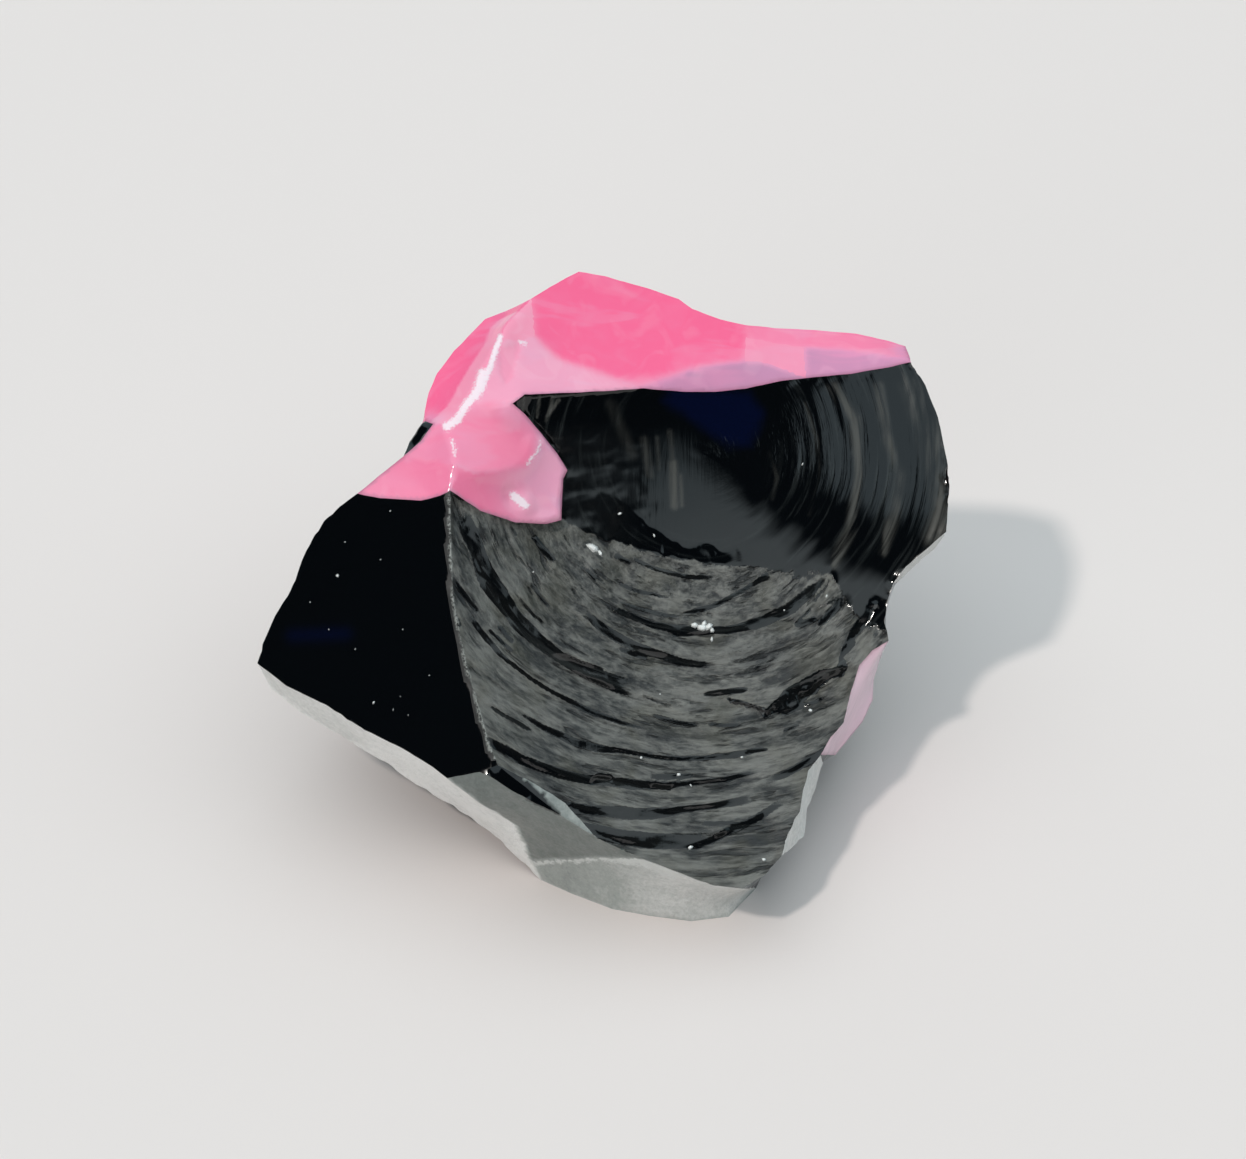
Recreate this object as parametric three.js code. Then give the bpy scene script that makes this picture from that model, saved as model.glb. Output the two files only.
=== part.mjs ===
// Andara glass: one broken piece of black glass with a pink zone, a single solid.
// Millimetres, +Z up, resting on its flat underside; the broad hollow front faces -Y.
// The surface is a set of fracture faces. Each face is a loop of named corners, and
// neighbouring faces share the same corners and the same edge points, so the solid closes.
import * as THREE from "three";

const WIDTH = 68.2;            // left tip to right cheek
const DRAWN_WIDTH = 68.2;      // the corners below are placed at this width
const SCALE = WIDTH / DRAWN_WIDTH;

const FACE_SPACING = 2.6;      // usual distance between surface points on a fracture face
const BOWL_SPACING = 0.98;     // the same in the rippled front bowl
const SOFT_SPACING = 1.8;      // and on the glossy top
const EDGE_CLEARANCE = 0.62;   // nearest that an inner point comes to an edge, in spacings
const FADE = 1.3;              // relief dies out this close to an edge
const BOWL_RADIUS = 52;        // the front bowl is part of a hollow of this radius

// The bowl is measured across and up its own slope, which leans back by this much.
const SLOPE = 42 * Math.PI / 180;
const SLOPE_CENTRE = [1.75, 1.5, 20];

// Corners of the faces, [x, y, z], in runs along the edges of the stone.
const corner = {};
function run(name, points) {
  points.forEach((point, index) => {
    corner[name + (index + 1)] = point;
  });
}

// ridge between the left face and the front bowl, from the crest down
run("ridge", [
  [-14.9, -2.2, 34.9], [-14.9, -4.5, 32.4], [-14.8, -6.9, 30.1], [-14.5, -10.2, 27.2],
  [-13.4, -14.1, 23.7], [-11.2, -20.3, 19], [-10.2, -22.3, 17.6]
]);
// upper edge of the left face
run("shoulder", [
  [-24.1, 0.1, 32.5], [-21.8, -0.8, 32.7], [-17.8, -2.1, 33.5], [-15.9, -2.3, 34.3]
]);
// skyline above the shoulder
run("nape", [
  [-21.8, 1.4, 33.9]
]);
// lower edge of the left face
run("belly", [
  [-11.9, -22.4, 16.8], [-15.1, -22, 15.5], [-16.7, -20.7, 15.9], [-19.7, -18.7, 16.4],
  [-23.7, -16.3, 16.7], [-27.7, -13.5, 17.4], [-31.2, -11.4, 17.7]
]);
// left tip
run("tip", [
  [-34.1, -9.1, 18.5]
]);
// left edge of the left face, upward from the tip
run("wing", [
  [-33.6, -7.9, 19.9], [-32.3, -6.2, 22.2], [-30.3, -4.3, 25.1], [-29.5, -2.7, 27],
  [-27.8, -1.1, 29.5], [-26.3, -0.4, 30.9]
]);
// lowest edge under the left face
run("skirt", [
  [-8.4, -19.1, 0.9], [-11.4, -17.1, 3], [-14.9, -15.7, 5], [-18.3, -15.3, 7.5], [-22.2, -14, 10],
  [-27.1, -11.8, 12], [-30.1, -10.3, 13], [-33.1, -8.4, 14.5], [-33.8, -8, 16]
]);
// front edge of the resting face
run("foot", [
  [-6.4, -20.8, 0], [-3.2, -22.7, 0], [0.7, -24.7, 0], [4.4, -25.6, 0], [8.4, -26.3, 0],
  [12.1, -25.7, 0], [14.9, -21.9, 0]
]);
// under the front, where two undercuts meet
run("heel", [
  [-12.2, -22.1, 12.4], [-8.5, -20.9, 7.8], [-7.3, -20.2, 2.2]
]);
// lower edge of the small black sliver
run("sliver", [
  [-11.1, -22.9, 16.8], [-8, -23.9, 15], [-4.4, -24.7, 13.4]
]);
// broken step along the front undercut
run("shelf", [
  [-0.4, -25.2, 8], [-5.9, -21.3, 3.6]
]);
// lower and right edge of the front bowl
run("lip", [
  [-6.6, -22.8, 15.6], [-3.8, -23.8, 14], [-0.7, -26.6, 12], [3.6, -27.7, 10.4], [5.8, -28.3, 9.8],
  [10.1, -29.6, 8.7], [13.2, -29.7, 8.3], [15.4, -28, 8.5], [17, -26, 8.9], [17.8, -23.5, 9.6],
  [18.9, -21.3, 10.2], [19.3, -19.1, 11], [19.9, -17.1, 11.7], [21.1, -15.6, 12.3],
  [22.1, -14, 13.1], [23.4, -12.6, 13.8], [24.2, -9.8, 15.3], [25.1, -7.5, 16.7],
  [26.4, -6.3, 17.6], [28, -5.7, 18.3]
]);
// upper edge of the front bowl
run("rim", [
  [-9, 5.5, 39.4], [-7.8, 6.4, 39.8], [-2.9, 8.3, 38.5], [3.5, 10.3, 37.4], [7.4, 11, 36.5],
  [11, 11.5, 36], [13.9, 11.9, 36.1], [17.4, 12.5, 36.6], [19.9, 12.6, 36.9], [24.3, 12.6, 37.4],
  [28.2, 12.6, 38.3], [30.2, 12.5, 39]
]);
// right edge of the bowl, downward
run("cheek", [
  [31.6, 11.1, 37.2], [32.9, 9.2, 34.6], [33.7, 6.9, 31.7], [34.1, 5.3, 29.8], [33.9, 3.4, 27.6],
  [33.7, 1.9, 26]
]);
// notch in the right edge
run("bite", [
  [32, 1.1, 24.6], [29.8, 0.1, 23], [28.6, -1, 21.8], [27.9, -2.5, 20.5], [27.7, -4.1, 19.3]
]);
// behind the notch
run("gill", [
  [33.8, 3.7, 23.9], [33, 4.3, 21.6], [30.5, 3.9, 18.9], [29.3, 2.1, 19.1]
]);
// right side, just above the foot
run("sill", [
  [17.8, -23.2, 6.7], [19.5, -20.2, 5.6], [19.8, -18.1, 6.5], [20.8, -15, 6.9], [21.6, -12.7, 8]
]);
// right side, behind the lip
run("vein", [
  [23.1, -8.8, 5.5], [26, -4.5, 5.9], [27.1, -2.6, 7.2], [27.2, -1.5, 9.2], [27.9, -2.1, 13.7]
]);
// back edge of the top
run("skyline", [
  [-2.7, 22.9, 42.3], [0, 22.6, 41.9], [4.5, 21.7, 41], [7.3, 20.7, 40.5], [8.7, 19.6, 40.1],
  [11.5, 18.7, 39.5], [14, 18.2, 39.2], [17, 18.2, 38.8], [21.5, 18.2, 38.5], [25, 17.8, 38.4],
  [27.9, 16.9, 38.3], [29.9, 15.9, 38.3]
]);
// creases across the top
run("crease", [
  [14, 16.9, 38.6], [13.9, 14.1, 37.9], [9.4, 13.2, 37.9], [5.9, 11.7, 37.6], [16.1, 14.2, 37.5],
  [19.7, 15.7, 38.3], [22.9, 15.7, 38.3], [26.3, 14.8, 38.4]
]);
// left edge of the top
run("brow", [
  [-17.7, 7.4, 36.8], [-17.4, 9.8, 37.3], [-16.6, 12, 38], [-15, 14.7, 38.7], [-13.3, 16.7, 39.4],
  [-12, 18.1, 40], [-10, 19, 40.3], [-7.4, 19.4, 41.5], [-5.5, 20.9, 41.9]
]);
// chip under the brow
run("chip", [
  [-19.6, 2.4, 35.3], [-19, 5.2, 35.4], [-17.6, 5.9, 36.9], [-16.7, 4.6, 37.6], [-17.9, 3.3, 36.5]
]);
// ridge from the ridge top back to the brow
run("crest", [
  [-15.5, 3.6, 37.9], [-14.2, 5, 38.7], [-13.1, 7, 39.5], [-11.9, 9.6, 40.5], [-10.3, 13.3, 41.5],
  [-9.8, 15.4, 41.7]
]);
// fall of the crest to the ridge
run("drop", [
  [-14.7, 1.7, 37.4], [-14.5, -0.2, 36.6]
]);
// soft folds of the top
run("soft", [
  [-7, 14.9, 40.4], [-8.4, 13.8, 40.6], [-4.8, 12.9, 39.1], [-0.5, 11.6, 38.3], [-11.7, 5.9, 39.2]
]);
// edge of the tongue lying on the bowl
run("tongue", [
  [-12.1, -2.2, 32.3], [-8.7, -1.5, 30.2], [-5.8, -0.5, 29.1], [-4.3, 0.3, 28.9], [-4.1, 3, 31.9],
  [-3.7, 3.7, 32.5], [-4.7, 4.4, 34], [-6.3, 5, 36.2], [-7.8, 5.4, 38.1]
]);
// fold inside the tongue
run("dip", [
  [-6.7, 4, 35.9], [-7, 3, 35], [-7.7, 2.1, 34.4], [-10.1, 0.6, 35], [-12.5, -0.5, 35.7]
]);
// far side
run("rear", [
  [-20.2, 12.7, 24.5], [-13.2, 22.7, 25], [7.8, 29.7, 26], [26.8, 22.7, 26], [25.8, 15.7, 11],
  [22.8, 3.7, 3], [7.8, 25.7, 10], [-17.2, 16.7, 13], [-26.2, 2.7, 11], [-15.2, -3.3, 2.5]
]);
// rest of the resting face
run("under", [
  [15.8, -19.3, 0], [17.3, -11.3, 0], [18.8, -1.3, 0], [15.8, 10.7, 0], [2.8, 16.7, 0],
  [-9.2, 10.7, 0], [-12.2, -2.3, 0], [-10.2, -14.3, 0]
]);

// Shell ripples run round the place the bowl was struck from, near its upper edge.
// Angles are from straight down the bowl, positive to the right.
const STRUCK = [7.5, 14.5];     // across, up
const RIPPLE_STRETCH = 0.84;    // the ripples are wider than they are high
const ripples = [
  { reach: 11.5, width: 1.1, depth: 0.10, from: -0.9, to: 0.5 },
  { reach: 15.5, width: 0.9, depth: 0.16, from: -1.1, to: 0.6 },
  { reach: 18.6, width: 1.0, depth: 0.42, from: -0.75, to: 0.95 },
  { reach: 21.4, width: 0.8, depth: 0.20, from: -0.8, to: 0.2 },
  { reach: 24.2, width: 1.0, depth: 0.26, from: -0.9, to: 0.3 },
  { reach: 27.3, width: 0.9, depth: 0.22, from: -0.9, to: 0.1 },
  { reach: 30.4, width: 1.0, depth: 0.30, from: -0.8, to: 0.35 },
  { reach: 33.3, width: 0.9, depth: 0.24, from: -0.7, to: 0.3 },
  { reach: 36.6, width: 1.0, depth: 0.34, from: -0.55, to: 0.35 },
  { reach: 39.6, width: 0.9, depth: 0.24, from: -0.4, to: 0.35 },
];
const RIPPLE_FADE = 0.18;       // radians over which a ripple runs out at its ends

// The hinge step low on the right: [across, up, depth of the drop beyond it].
const step = [
  [6.7, -11.0, 0], [9.5, -11.3, 0.5], [12.0, -12.5, 0.9], [14.4, -13.4, 1.4], [17.6, -10.9, 1.7],
  [20.9, -8.2, 1.2], [22.0, -6.0, 1.4], [23.5, -2.2, 1.1], [25.6, 2.0, 0],
];
const STEP_WALL = 1.0;          // the drop is this wide
const STEP_RUNOUT = 3.2;        // and climbs back over about this distance

// Flutes run down the right side of the bowl and lean outward at their ends.
const FLUTE_BEND = 0.01;
const FLUTE_SHIFT = -0.6;
const FLUTE_MIDDLE = 10;
const flutes = [
  { across: 22.2, depth: 0.28, width: 0.5, high: 19, low: 0 },
  { across: 25.6, depth: 0.38, width: 0.7, high: 20, low: 1 },
  { across: 28.0, depth: 0.30, width: 0.6, high: 19, low: 3 },
  { across: 30.4, depth: 0.36, width: 0.6, high: 17, low: 6 },
];

function smooth(low, high, value) {
  const t = Math.min(1, Math.max(0, (value - low) / (high - low)));
  return t * t * (3 - 2 * t);
}

function bowlRelief(across, up) {
  const dx = (across - STRUCK[0]) * RIPPLE_STRETCH;
  const dy = STRUCK[1] - up;
  const reach = Math.hypot(dx, dy);
  const angle = Math.atan2(dx, dy);
  let height = 0;
  for (const ripple of ripples) {
    const inside = smooth(ripple.from - RIPPLE_FADE, ripple.from + RIPPLE_FADE, angle)
      * (1 - smooth(ripple.to - RIPPLE_FADE, ripple.to + RIPPLE_FADE, angle));
    const away = (reach - ripple.reach) / ripple.width;
    height -= ripple.depth * inside * Math.exp(-away * away);
  }
  for (const flute of flutes) {
    const line = flute.across + FLUTE_SHIFT + FLUTE_BEND * (up - FLUTE_MIDDLE) ** 2;
    const away = (across - line) / flute.width;
    const along = smooth(flute.low - 3, flute.low + 3, up)
      * (1 - smooth(flute.high - 2, flute.high + 2, up));
    height -= flute.depth * along * Math.exp(-away * away);
  }
  return height - stepDrop(across, up);
}

function stepDrop(across, up) {
  let nearest = Infinity;
  let drop = 0;
  for (let i = 0; i + 1 < step.length; i += 1) {
    const [ax, ay, adepth] = step[i];
    const [bx, by, bdepth] = step[i + 1];
    const lengthSquared = (bx - ax) ** 2 + (by - ay) ** 2;
    const along = ((across - ax) * (bx - ax) + (up - ay) * (by - ay)) / lengthSquared;
    const t = Math.min(1, Math.max(0, along));
    const ox = across - ax - t * (bx - ax);
    const oy = up - ay - t * (by - ay);
    const distance = Math.hypot(ox, oy);
    if (distance < nearest) {
      nearest = distance;
      const beyond = ox * (by - ay) - oy * (bx - ax) > 0 ? distance : -distance;
      const depth = adepth + t * (bdepth - adepth);
      drop = beyond > 0 ? depth * smooth(0, STEP_WALL, beyond) * Math.exp(-beyond / STEP_RUNOUT) : 0;
    }
  }
  return drop;
}

// Each face: the corners around it, how hollow it is (1 / radius), and its point spacing.
const facets = [
  { name: "front", around: "lip1-20 bite5-1 cheek6-1 rim12-1 tongue9-1 ridge1-7",
    hollow: 1 / BOWL_RADIUS, spacing: BOWL_SPACING, relief: bowlRelief },
  { name: "left", around: "wing6-1 tip1 belly7-1 ridge7-1 shoulder4-1",
    hollow: 1 / 400, spacing: 3.0 },
  { name: "left_under", around: "skirt9-4 belly3-7 tip1" },
  { name: "front_under_left", around: "skirt4-1 foot1 heel3-1 belly2-3" },
  { name: "front_under", around: "heel1-3 shelf2-1 lip4-3 sliver3-1 belly1-2" },
  { name: "sliver", around: "belly1 sliver1-3 ridge7" },
  { name: "band", around: "sliver3 lip3-1 ridge7" },
  { name: "foot", around: "shelf1-2 heel3 foot1-7 lip7-4" },
  { name: "shoulder", around: "ridge1 drop2-1 crest1 chip4-5 chip1 nape1 shoulder1-4",
    hollow: 1 / 40, spacing: SOFT_SPACING },
  { name: "left_crest", around: "brow8-1 chip3-4 crest1-6", hollow: 1 / 50, spacing: SOFT_SPACING },
  { name: "crest_tip", around: "soft2-1 brow8 crest6-5" },
  { name: "crest_front", around: "soft5 rim1-4 soft4-3 soft1-2 crest5-2",
    hollow: 1 / 60, spacing: SOFT_SPACING },
  { name: "top", around: "brow9-8 soft1 soft3-4 rim4 crease4-1 skyline7-1",
    hollow: 1 / 60, spacing: SOFT_SPACING },
  { name: "top_mid", around: "crease5 crease2-4 rim4-9" },
  { name: "star", around: "crease5 rim9 crease6 crease1-2" },
  { name: "top_right", around: "rim9-12 crease8-6" },
  { name: "top_strip", around: "crease1 crease6-8 rim12 skyline12-7" },
  { name: "tongue_deep", around: "drop1-2 dip5-1 tongue8-9 rim1 soft5 crest2-1",
    hollow: 1 / 40, spacing: SOFT_SPACING },
  { name: "tongue_lip", around: "ridge1 tongue1-8 dip1-5 drop2", hollow: 1 / 30, spacing: SOFT_SPACING },
  { name: "notch", around: "bite1-3 gill4-1 cheek6" },
  { name: "right_upper", around: "rim12 cheek1-6 gill1-4 rear5-4 skyline12", hollow: 1 / 70 },
  { name: "right_mid", around: "bite3-5 lip20 vein5-3 rear6-5 gill4" },
  { name: "pink_side", around: "vein1-5 lip20-14" },
  { name: "right_low", around: "lip14 sill5-3 under2-3 rear6 vein3-1" },
  { name: "right_foot", around: "sill1-5 lip14-9" },
  { name: "right_under", around: "under1-2 sill3-1 lip9-7 foot7" },
  { name: "base", around: "under8-1 foot7-1" },
  { name: "black_chip", around: "chip5-1" },
  { name: "back_left_mid", around: "brow1-6 rear2-1 chip1-3" },
  { name: "back_left", around: "wing1-6 shoulder1 nape1 chip1 rear1 rear9 tip1", hollow: 1 / 80 },
  { name: "left_low", around: "rear9-10 skirt3-9 tip1" },
  { name: "left_low_base", around: "rear10 under7-8 foot1 skirt1-3" },
  { name: "back_low_left", around: "under6-7 rear10-8" },
  { name: "back_left_low", around: "rear8-9 rear1-2" },
  { name: "back_top_left", around: "skyline1-5 rear3-2 brow6-9", hollow: 1 / 70 },
  { name: "back_top_right", around: "skyline5-12 rear4-3", hollow: 1 / 60 },
  { name: "back", around: "rear7 under5-6 rear8 rear2-3", hollow: 1 / 90 },
  { name: "back_right", around: "rear3-5 rear7", hollow: 1 / 80 },
  { name: "back_right_low", around: "rear5-6 under3-5 rear7" },
];

function cornersAround(text) {
  const names = [];
  for (const word of text.split(" ")) {
    const [, stem, first, last] = word.match(/^([a-z]+)(\d+)(?:-(\d+))?$/);
    const end = last === undefined ? Number(first) : Number(last);
    const way = end < Number(first) ? -1 : 1;
    for (let i = Number(first); i !== end + way; i += way) {
      names.push(stem + i);
    }
  }
  return names;
}

// Both faces at an edge use its finer spacing.
const edgeSpacing = new Map();
function edgeKey(a, b) {
  return a < b ? a + "/" + b : b + "/" + a;
}
for (const facet of facets) {
  facet.corners = cornersAround(facet.around);
  facet.corners.forEach((name, i) => {
    const key = edgeKey(name, facet.corners[(i + 1) % facet.corners.length]);
    const spacing = facet.spacing ?? FACE_SPACING;
    edgeSpacing.set(key, Math.min(edgeSpacing.get(key) ?? Infinity, spacing));
  });
}

function edgePoints(a, b) {
  const [from, to] = a < b ? [corner[a], corner[b]] : [corner[b], corner[a]];
  const length = Math.hypot(to[0] - from[0], to[1] - from[1], to[2] - from[2]);
  const parts = Math.max(1, Math.round(length / edgeSpacing.get(edgeKey(a, b))));
  const points = [];
  for (let i = 0; i <= parts; i += 1) {
    points.push(from.map((value, axis) => value + (to[axis] - value) * i / parts));
  }
  return a < b ? points : points.reverse();
}

const dot = (a, b) => a[0] * b[0] + a[1] * b[1] + a[2] * b[2];
const cross = (a, b) => [a[1] * b[2] - a[2] * b[1], a[2] * b[0] - a[0] * b[2], a[0] * b[1] - a[1] * b[0]];
const subtract = (a, b) => [a[0] - b[0], a[1] - b[1], a[2] - b[2]];
const unit = (a) => a.map((value) => value / Math.hypot(...a));

function faceNormal(points) {
  let normal = [0, 0, 0];
  points.forEach((point, i) => {
    const turn = cross(point, points[(i + 1) % points.length]);
    normal = normal.map((value, axis) => value + turn[axis]);
  });
  return unit(normal);
}

// Least-squares tilt of the face about its own plane, once its hollow is taken out.
function fitTilt(flat, hollow) {
  const m = new THREE.Matrix3();
  const sums = new Array(9).fill(0);
  const right = [0, 0, 0];
  for (const [u, v, w] of flat) {
    const row = [1, u, v];
    const rest = w - hollow * (u * u + v * v) / 2;
    row.forEach((a, i) => {
      right[i] += a * rest;
      row.forEach((b, j) => {
        sums[i * 3 + j] += a * b;
      });
    });
  }
  m.set(...sums).invert();
  return new THREE.Vector3(...right).applyMatrix3(m).toArray();
}

function insideLoop(loop, u, v) {
  let inside = false;
  for (let i = 0, j = loop.length - 1; i < loop.length; j = i, i += 1) {
    const [ui, vi] = loop[i];
    const [uj, vj] = loop[j];
    if ((vi > v) !== (vj > v) && u < (uj - ui) * (v - vi) / (vj - vi) + ui) {
      inside = !inside;
    }
  }
  return inside;
}

function clearance(loop, u, v) {
  let nearest = Infinity;
  for (let i = 0, j = loop.length - 1; i < loop.length; j = i, i += 1) {
    const [au, av] = loop[j];
    const [bu, bv] = loop[i];
    const lengthSquared = (bu - au) ** 2 + (bv - av) ** 2;
    const t = Math.min(1, Math.max(0, ((u - au) * (bu - au) + (v - av) * (bv - av)) / lengthSquared));
    nearest = Math.min(nearest, Math.hypot(u - au - t * (bu - au), v - av - t * (bv - av)));
  }
  return nearest;
}

// Twice the area of the flat triangle a, b, c, positive when it turns anticlockwise.
function turn(a, b, c) {
  return (b[0] - a[0]) * (c[1] - a[1]) - (b[1] - a[1]) * (c[0] - a[0]);
}

// True where d lies inside the circle through the anticlockwise triangle a, b, c.
function insideCircle(a, b, c, d) {
  const [ax, ay] = [a[0] - d[0], a[1] - d[1]];
  const [bx, by] = [b[0] - d[0], b[1] - d[1]];
  const [cx, cy] = [c[0] - d[0], c[1] - d[1]];
  return (ax * ax + ay * ay) * (bx * cy - cx * by) - (bx * bx + by * by) * (ax * cy - cx * ay)
    + (cx * cx + cy * cy) * (ax * by - bx * ay) > TINY;
}

const TINY = 1e-9;
const SWAP_EVERY = 40;          // points added between two rounds of swapping
const MOST_ROUNDS = 60;
const MANY = 100000;            // more than the points of one face

// Triangles of a loop and the points inside it: cut the loop, add each point, then
// swap diagonals until every pair of triangles is the well-shaped one.
function triangulate(points, loopCount) {
  const loop = points.slice(0, loopCount).map(([u, v]) => new THREE.Vector2(u, v));
  const triangles = THREE.ShapeUtils.triangulateShape(loop, []).map((t) => (
    turn(points[t[0]], points[t[1]], points[t[2]]) < 0 ? [t[0], t[2], t[1]] : [...t]));
  for (let p = loopCount; p < points.length; p += 1) {
    const home = triangles.findIndex(([a, b, c]) => turn(points[a], points[b], points[p]) >= 0
      && turn(points[b], points[c], points[p]) >= 0 && turn(points[c], points[a], points[p]) >= 0);
    const [a, b, c] = triangles[home];
    triangles[home] = [a, b, p];
    triangles.push([b, c, p], [c, a, p]);
    if (p % SWAP_EVERY === 0) {
      swapDiagonals(points, triangles);
    }
  }
  swapDiagonals(points, triangles);
  return triangles;
}

function swapDiagonals(points, triangles) {
  for (let pass = 0; pass < MOST_ROUNDS; pass += 1) {
    const owner = new Map();
    triangles.forEach((t, index) => {
      for (let k = 0; k < 3; k += 1) {
        owner.set(t[k] * MANY + t[(k + 1) % 3], index * 3 + k);
      }
    });
    const touched = new Set();
    for (const [key, place] of owner) {
      const a = Math.floor(key / MANY);
      const b = key % MANY;
      const other = owner.get(b * MANY + a);
      if (a > b || other === undefined) {
        continue;
      }
      const first = Math.floor(place / 3);
      const second = Math.floor(other / 3);
      if (touched.has(first) || touched.has(second)) {
        continue;
      }
      const c = triangles[first][(place % 3 + 2) % 3];
      const d = triangles[second][(other % 3 + 2) % 3];
      const convex = turn(points[a], points[d], points[c]) > TINY
        && turn(points[d], points[b], points[c]) > TINY;
      if (convex && insideCircle(points[a], points[b], points[c], points[d])) {
        triangles[first] = [a, d, c];
        triangles[second] = [d, b, c];
        touched.add(first);
        touched.add(second);
      }
    }
    if (touched.size === 0) {
      return;
    }
  }
}

const positions = [];
const seen = new Map();
function vertex(point) {
  const key = point.map((value) => Math.round(value * 1000)).join(" ");
  if (!seen.has(key)) {
    seen.set(key, positions.length / 3);
    positions.push(...point.map((value) => value * SCALE));
  }
  return seen.get(key);
}

const indices = [];
function addFacet(facet) {
  const spacing = facet.spacing ?? FACE_SPACING;
  const hollow = facet.hollow ?? 0;
  const edge = [];
  facet.corners.forEach((name, i) => {
    edge.push(...edgePoints(name, facet.corners[(i + 1) % facet.corners.length]).slice(0, -1));
  });
  const middle = [0, 1, 2].map((axis) => (
    edge.reduce((sum, point) => sum + point[axis], 0) / edge.length));
  const normal = faceNormal(edge);
  const across = unit(cross(Math.abs(normal[2]) > 0.9 ? [0, 1, 0] : [0, 0, 1], normal));
  const up = cross(normal, across);
  const flat = edge.map((point) => {
    const offset = subtract(point, middle);
    return [dot(offset, across), dot(offset, up), dot(offset, normal)];
  });
  const tilt = fitTilt(flat, hollow);
  const surface = (u, v) => tilt[0] + tilt[1] * u + tilt[2] * v + hollow * (u * u + v * v) / 2;
  const misfit = flat.map(([u, v, w]) => w - surface(u, v));

  const points = flat.map(([u, v]) => [u, v]);
  const us = points.map((point) => point[0]);
  const vs = points.map((point) => point[1]);
  const rowHeight = spacing * Math.sqrt(3) / 2;
  for (let row = 0, v = Math.min(...vs); v < Math.max(...vs); row += 1, v += rowHeight) {
    for (let u = Math.min(...us) + (row % 2) * spacing / 2; u < Math.max(...us); u += spacing) {
      if (insideLoop(flat, u, v) && clearance(flat, u, v) > EDGE_CLEARANCE * spacing) {
        points.push([u, v]);
      }
    }
  }
  const solid = points.map(([u, v], index) => {
    if (index < edge.length) {
      return vertex(edge[index]);
    }
    let weights = 0;
    let carried = 0;
    flat.forEach(([eu, ev], i) => {
      const weight = 1 / ((u - eu) ** 2 + (v - ev) ** 2) ** 1.5;
      weights += weight;
      carried += weight * misfit[i];
    });
    const w = surface(u, v) + carried / weights;
    let place = middle.map((value, axis) => value + u * across[axis] + v * up[axis] + w * normal[axis]);
    if (facet.relief) {
      const offset = subtract(place, SLOPE_CENTRE);
      const slopeUp = offset[1] * Math.sin(SLOPE) + offset[2] * Math.cos(SLOPE);
      const height = facet.relief(offset[0], slopeUp) * smooth(0, FADE, clearance(flat, u, v));
      place = place.map((value, axis) => value + height * normal[axis]);
    }
    return vertex(place);
  });
  for (const [a, b, c] of triangulate(points, edge.length)) {
    indices.push(solid[a], solid[b], solid[c]);
  }
}

facets.forEach(addFacet);

const geometry = new THREE.BufferGeometry();
geometry.setAttribute("position", new THREE.Float32BufferAttribute(positions, 3));
geometry.setIndex(indices);
geometry.computeVertexNormals();

const blackGlass = new THREE.MeshStandardMaterial({ color: 0x14181a, roughness: 0.12, metalness: 0 });
const stone = new THREE.Mesh(geometry, blackGlass);
stone.name = "andara_glass";

const group = new THREE.Group();
group.name = "andara_glass_part";
group.add(stone);

export default group;
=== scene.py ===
"""Andara glass: a broken lump of black glass with a pink glossy top and tongue.

The stone is worked out in millimetres, +Z up and resting on Z = 0, and made in metres.
Its surface is a set of fracture faces. Each is a loop of named corners, and
neighbouring faces share their corners and edge points, so the mesh closes.
"""
import math

import bpy
import numpy as np
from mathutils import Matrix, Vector
from mathutils.geometry import delaunay_2d_cdt


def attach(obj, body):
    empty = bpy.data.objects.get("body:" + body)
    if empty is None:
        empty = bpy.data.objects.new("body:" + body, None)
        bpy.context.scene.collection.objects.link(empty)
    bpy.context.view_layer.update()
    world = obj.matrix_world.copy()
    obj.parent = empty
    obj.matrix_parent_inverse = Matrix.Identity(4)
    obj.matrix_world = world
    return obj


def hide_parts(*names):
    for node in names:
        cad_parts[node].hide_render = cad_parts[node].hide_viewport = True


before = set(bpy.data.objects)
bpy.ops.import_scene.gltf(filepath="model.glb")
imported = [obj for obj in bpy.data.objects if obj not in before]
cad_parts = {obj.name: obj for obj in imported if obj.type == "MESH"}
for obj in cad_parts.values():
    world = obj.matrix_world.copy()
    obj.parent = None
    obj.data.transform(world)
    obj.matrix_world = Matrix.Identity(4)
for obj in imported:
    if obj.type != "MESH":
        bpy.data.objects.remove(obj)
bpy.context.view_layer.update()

MM = 0.001
SLOPE = math.radians(42)          # the view, and the bowl's own "up", lean back by this
SLOPE_CENTRE = np.array((1.75, 1.5, 20.0))
CAMERA_REACH = 350.0              # the camera's distance from the slope's centre
BOWL_RADIUS = 52.0
STRUCK = (7.7, 12.95)             # where the bowl was struck from: across, up
TONGUE_GLINT = (-10.4, 7.95)      # a small flake scar on the tongue that catches the sun
HALF_WAY = np.array((-0.222, -0.583, 0.782))
SEED = 7

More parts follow.
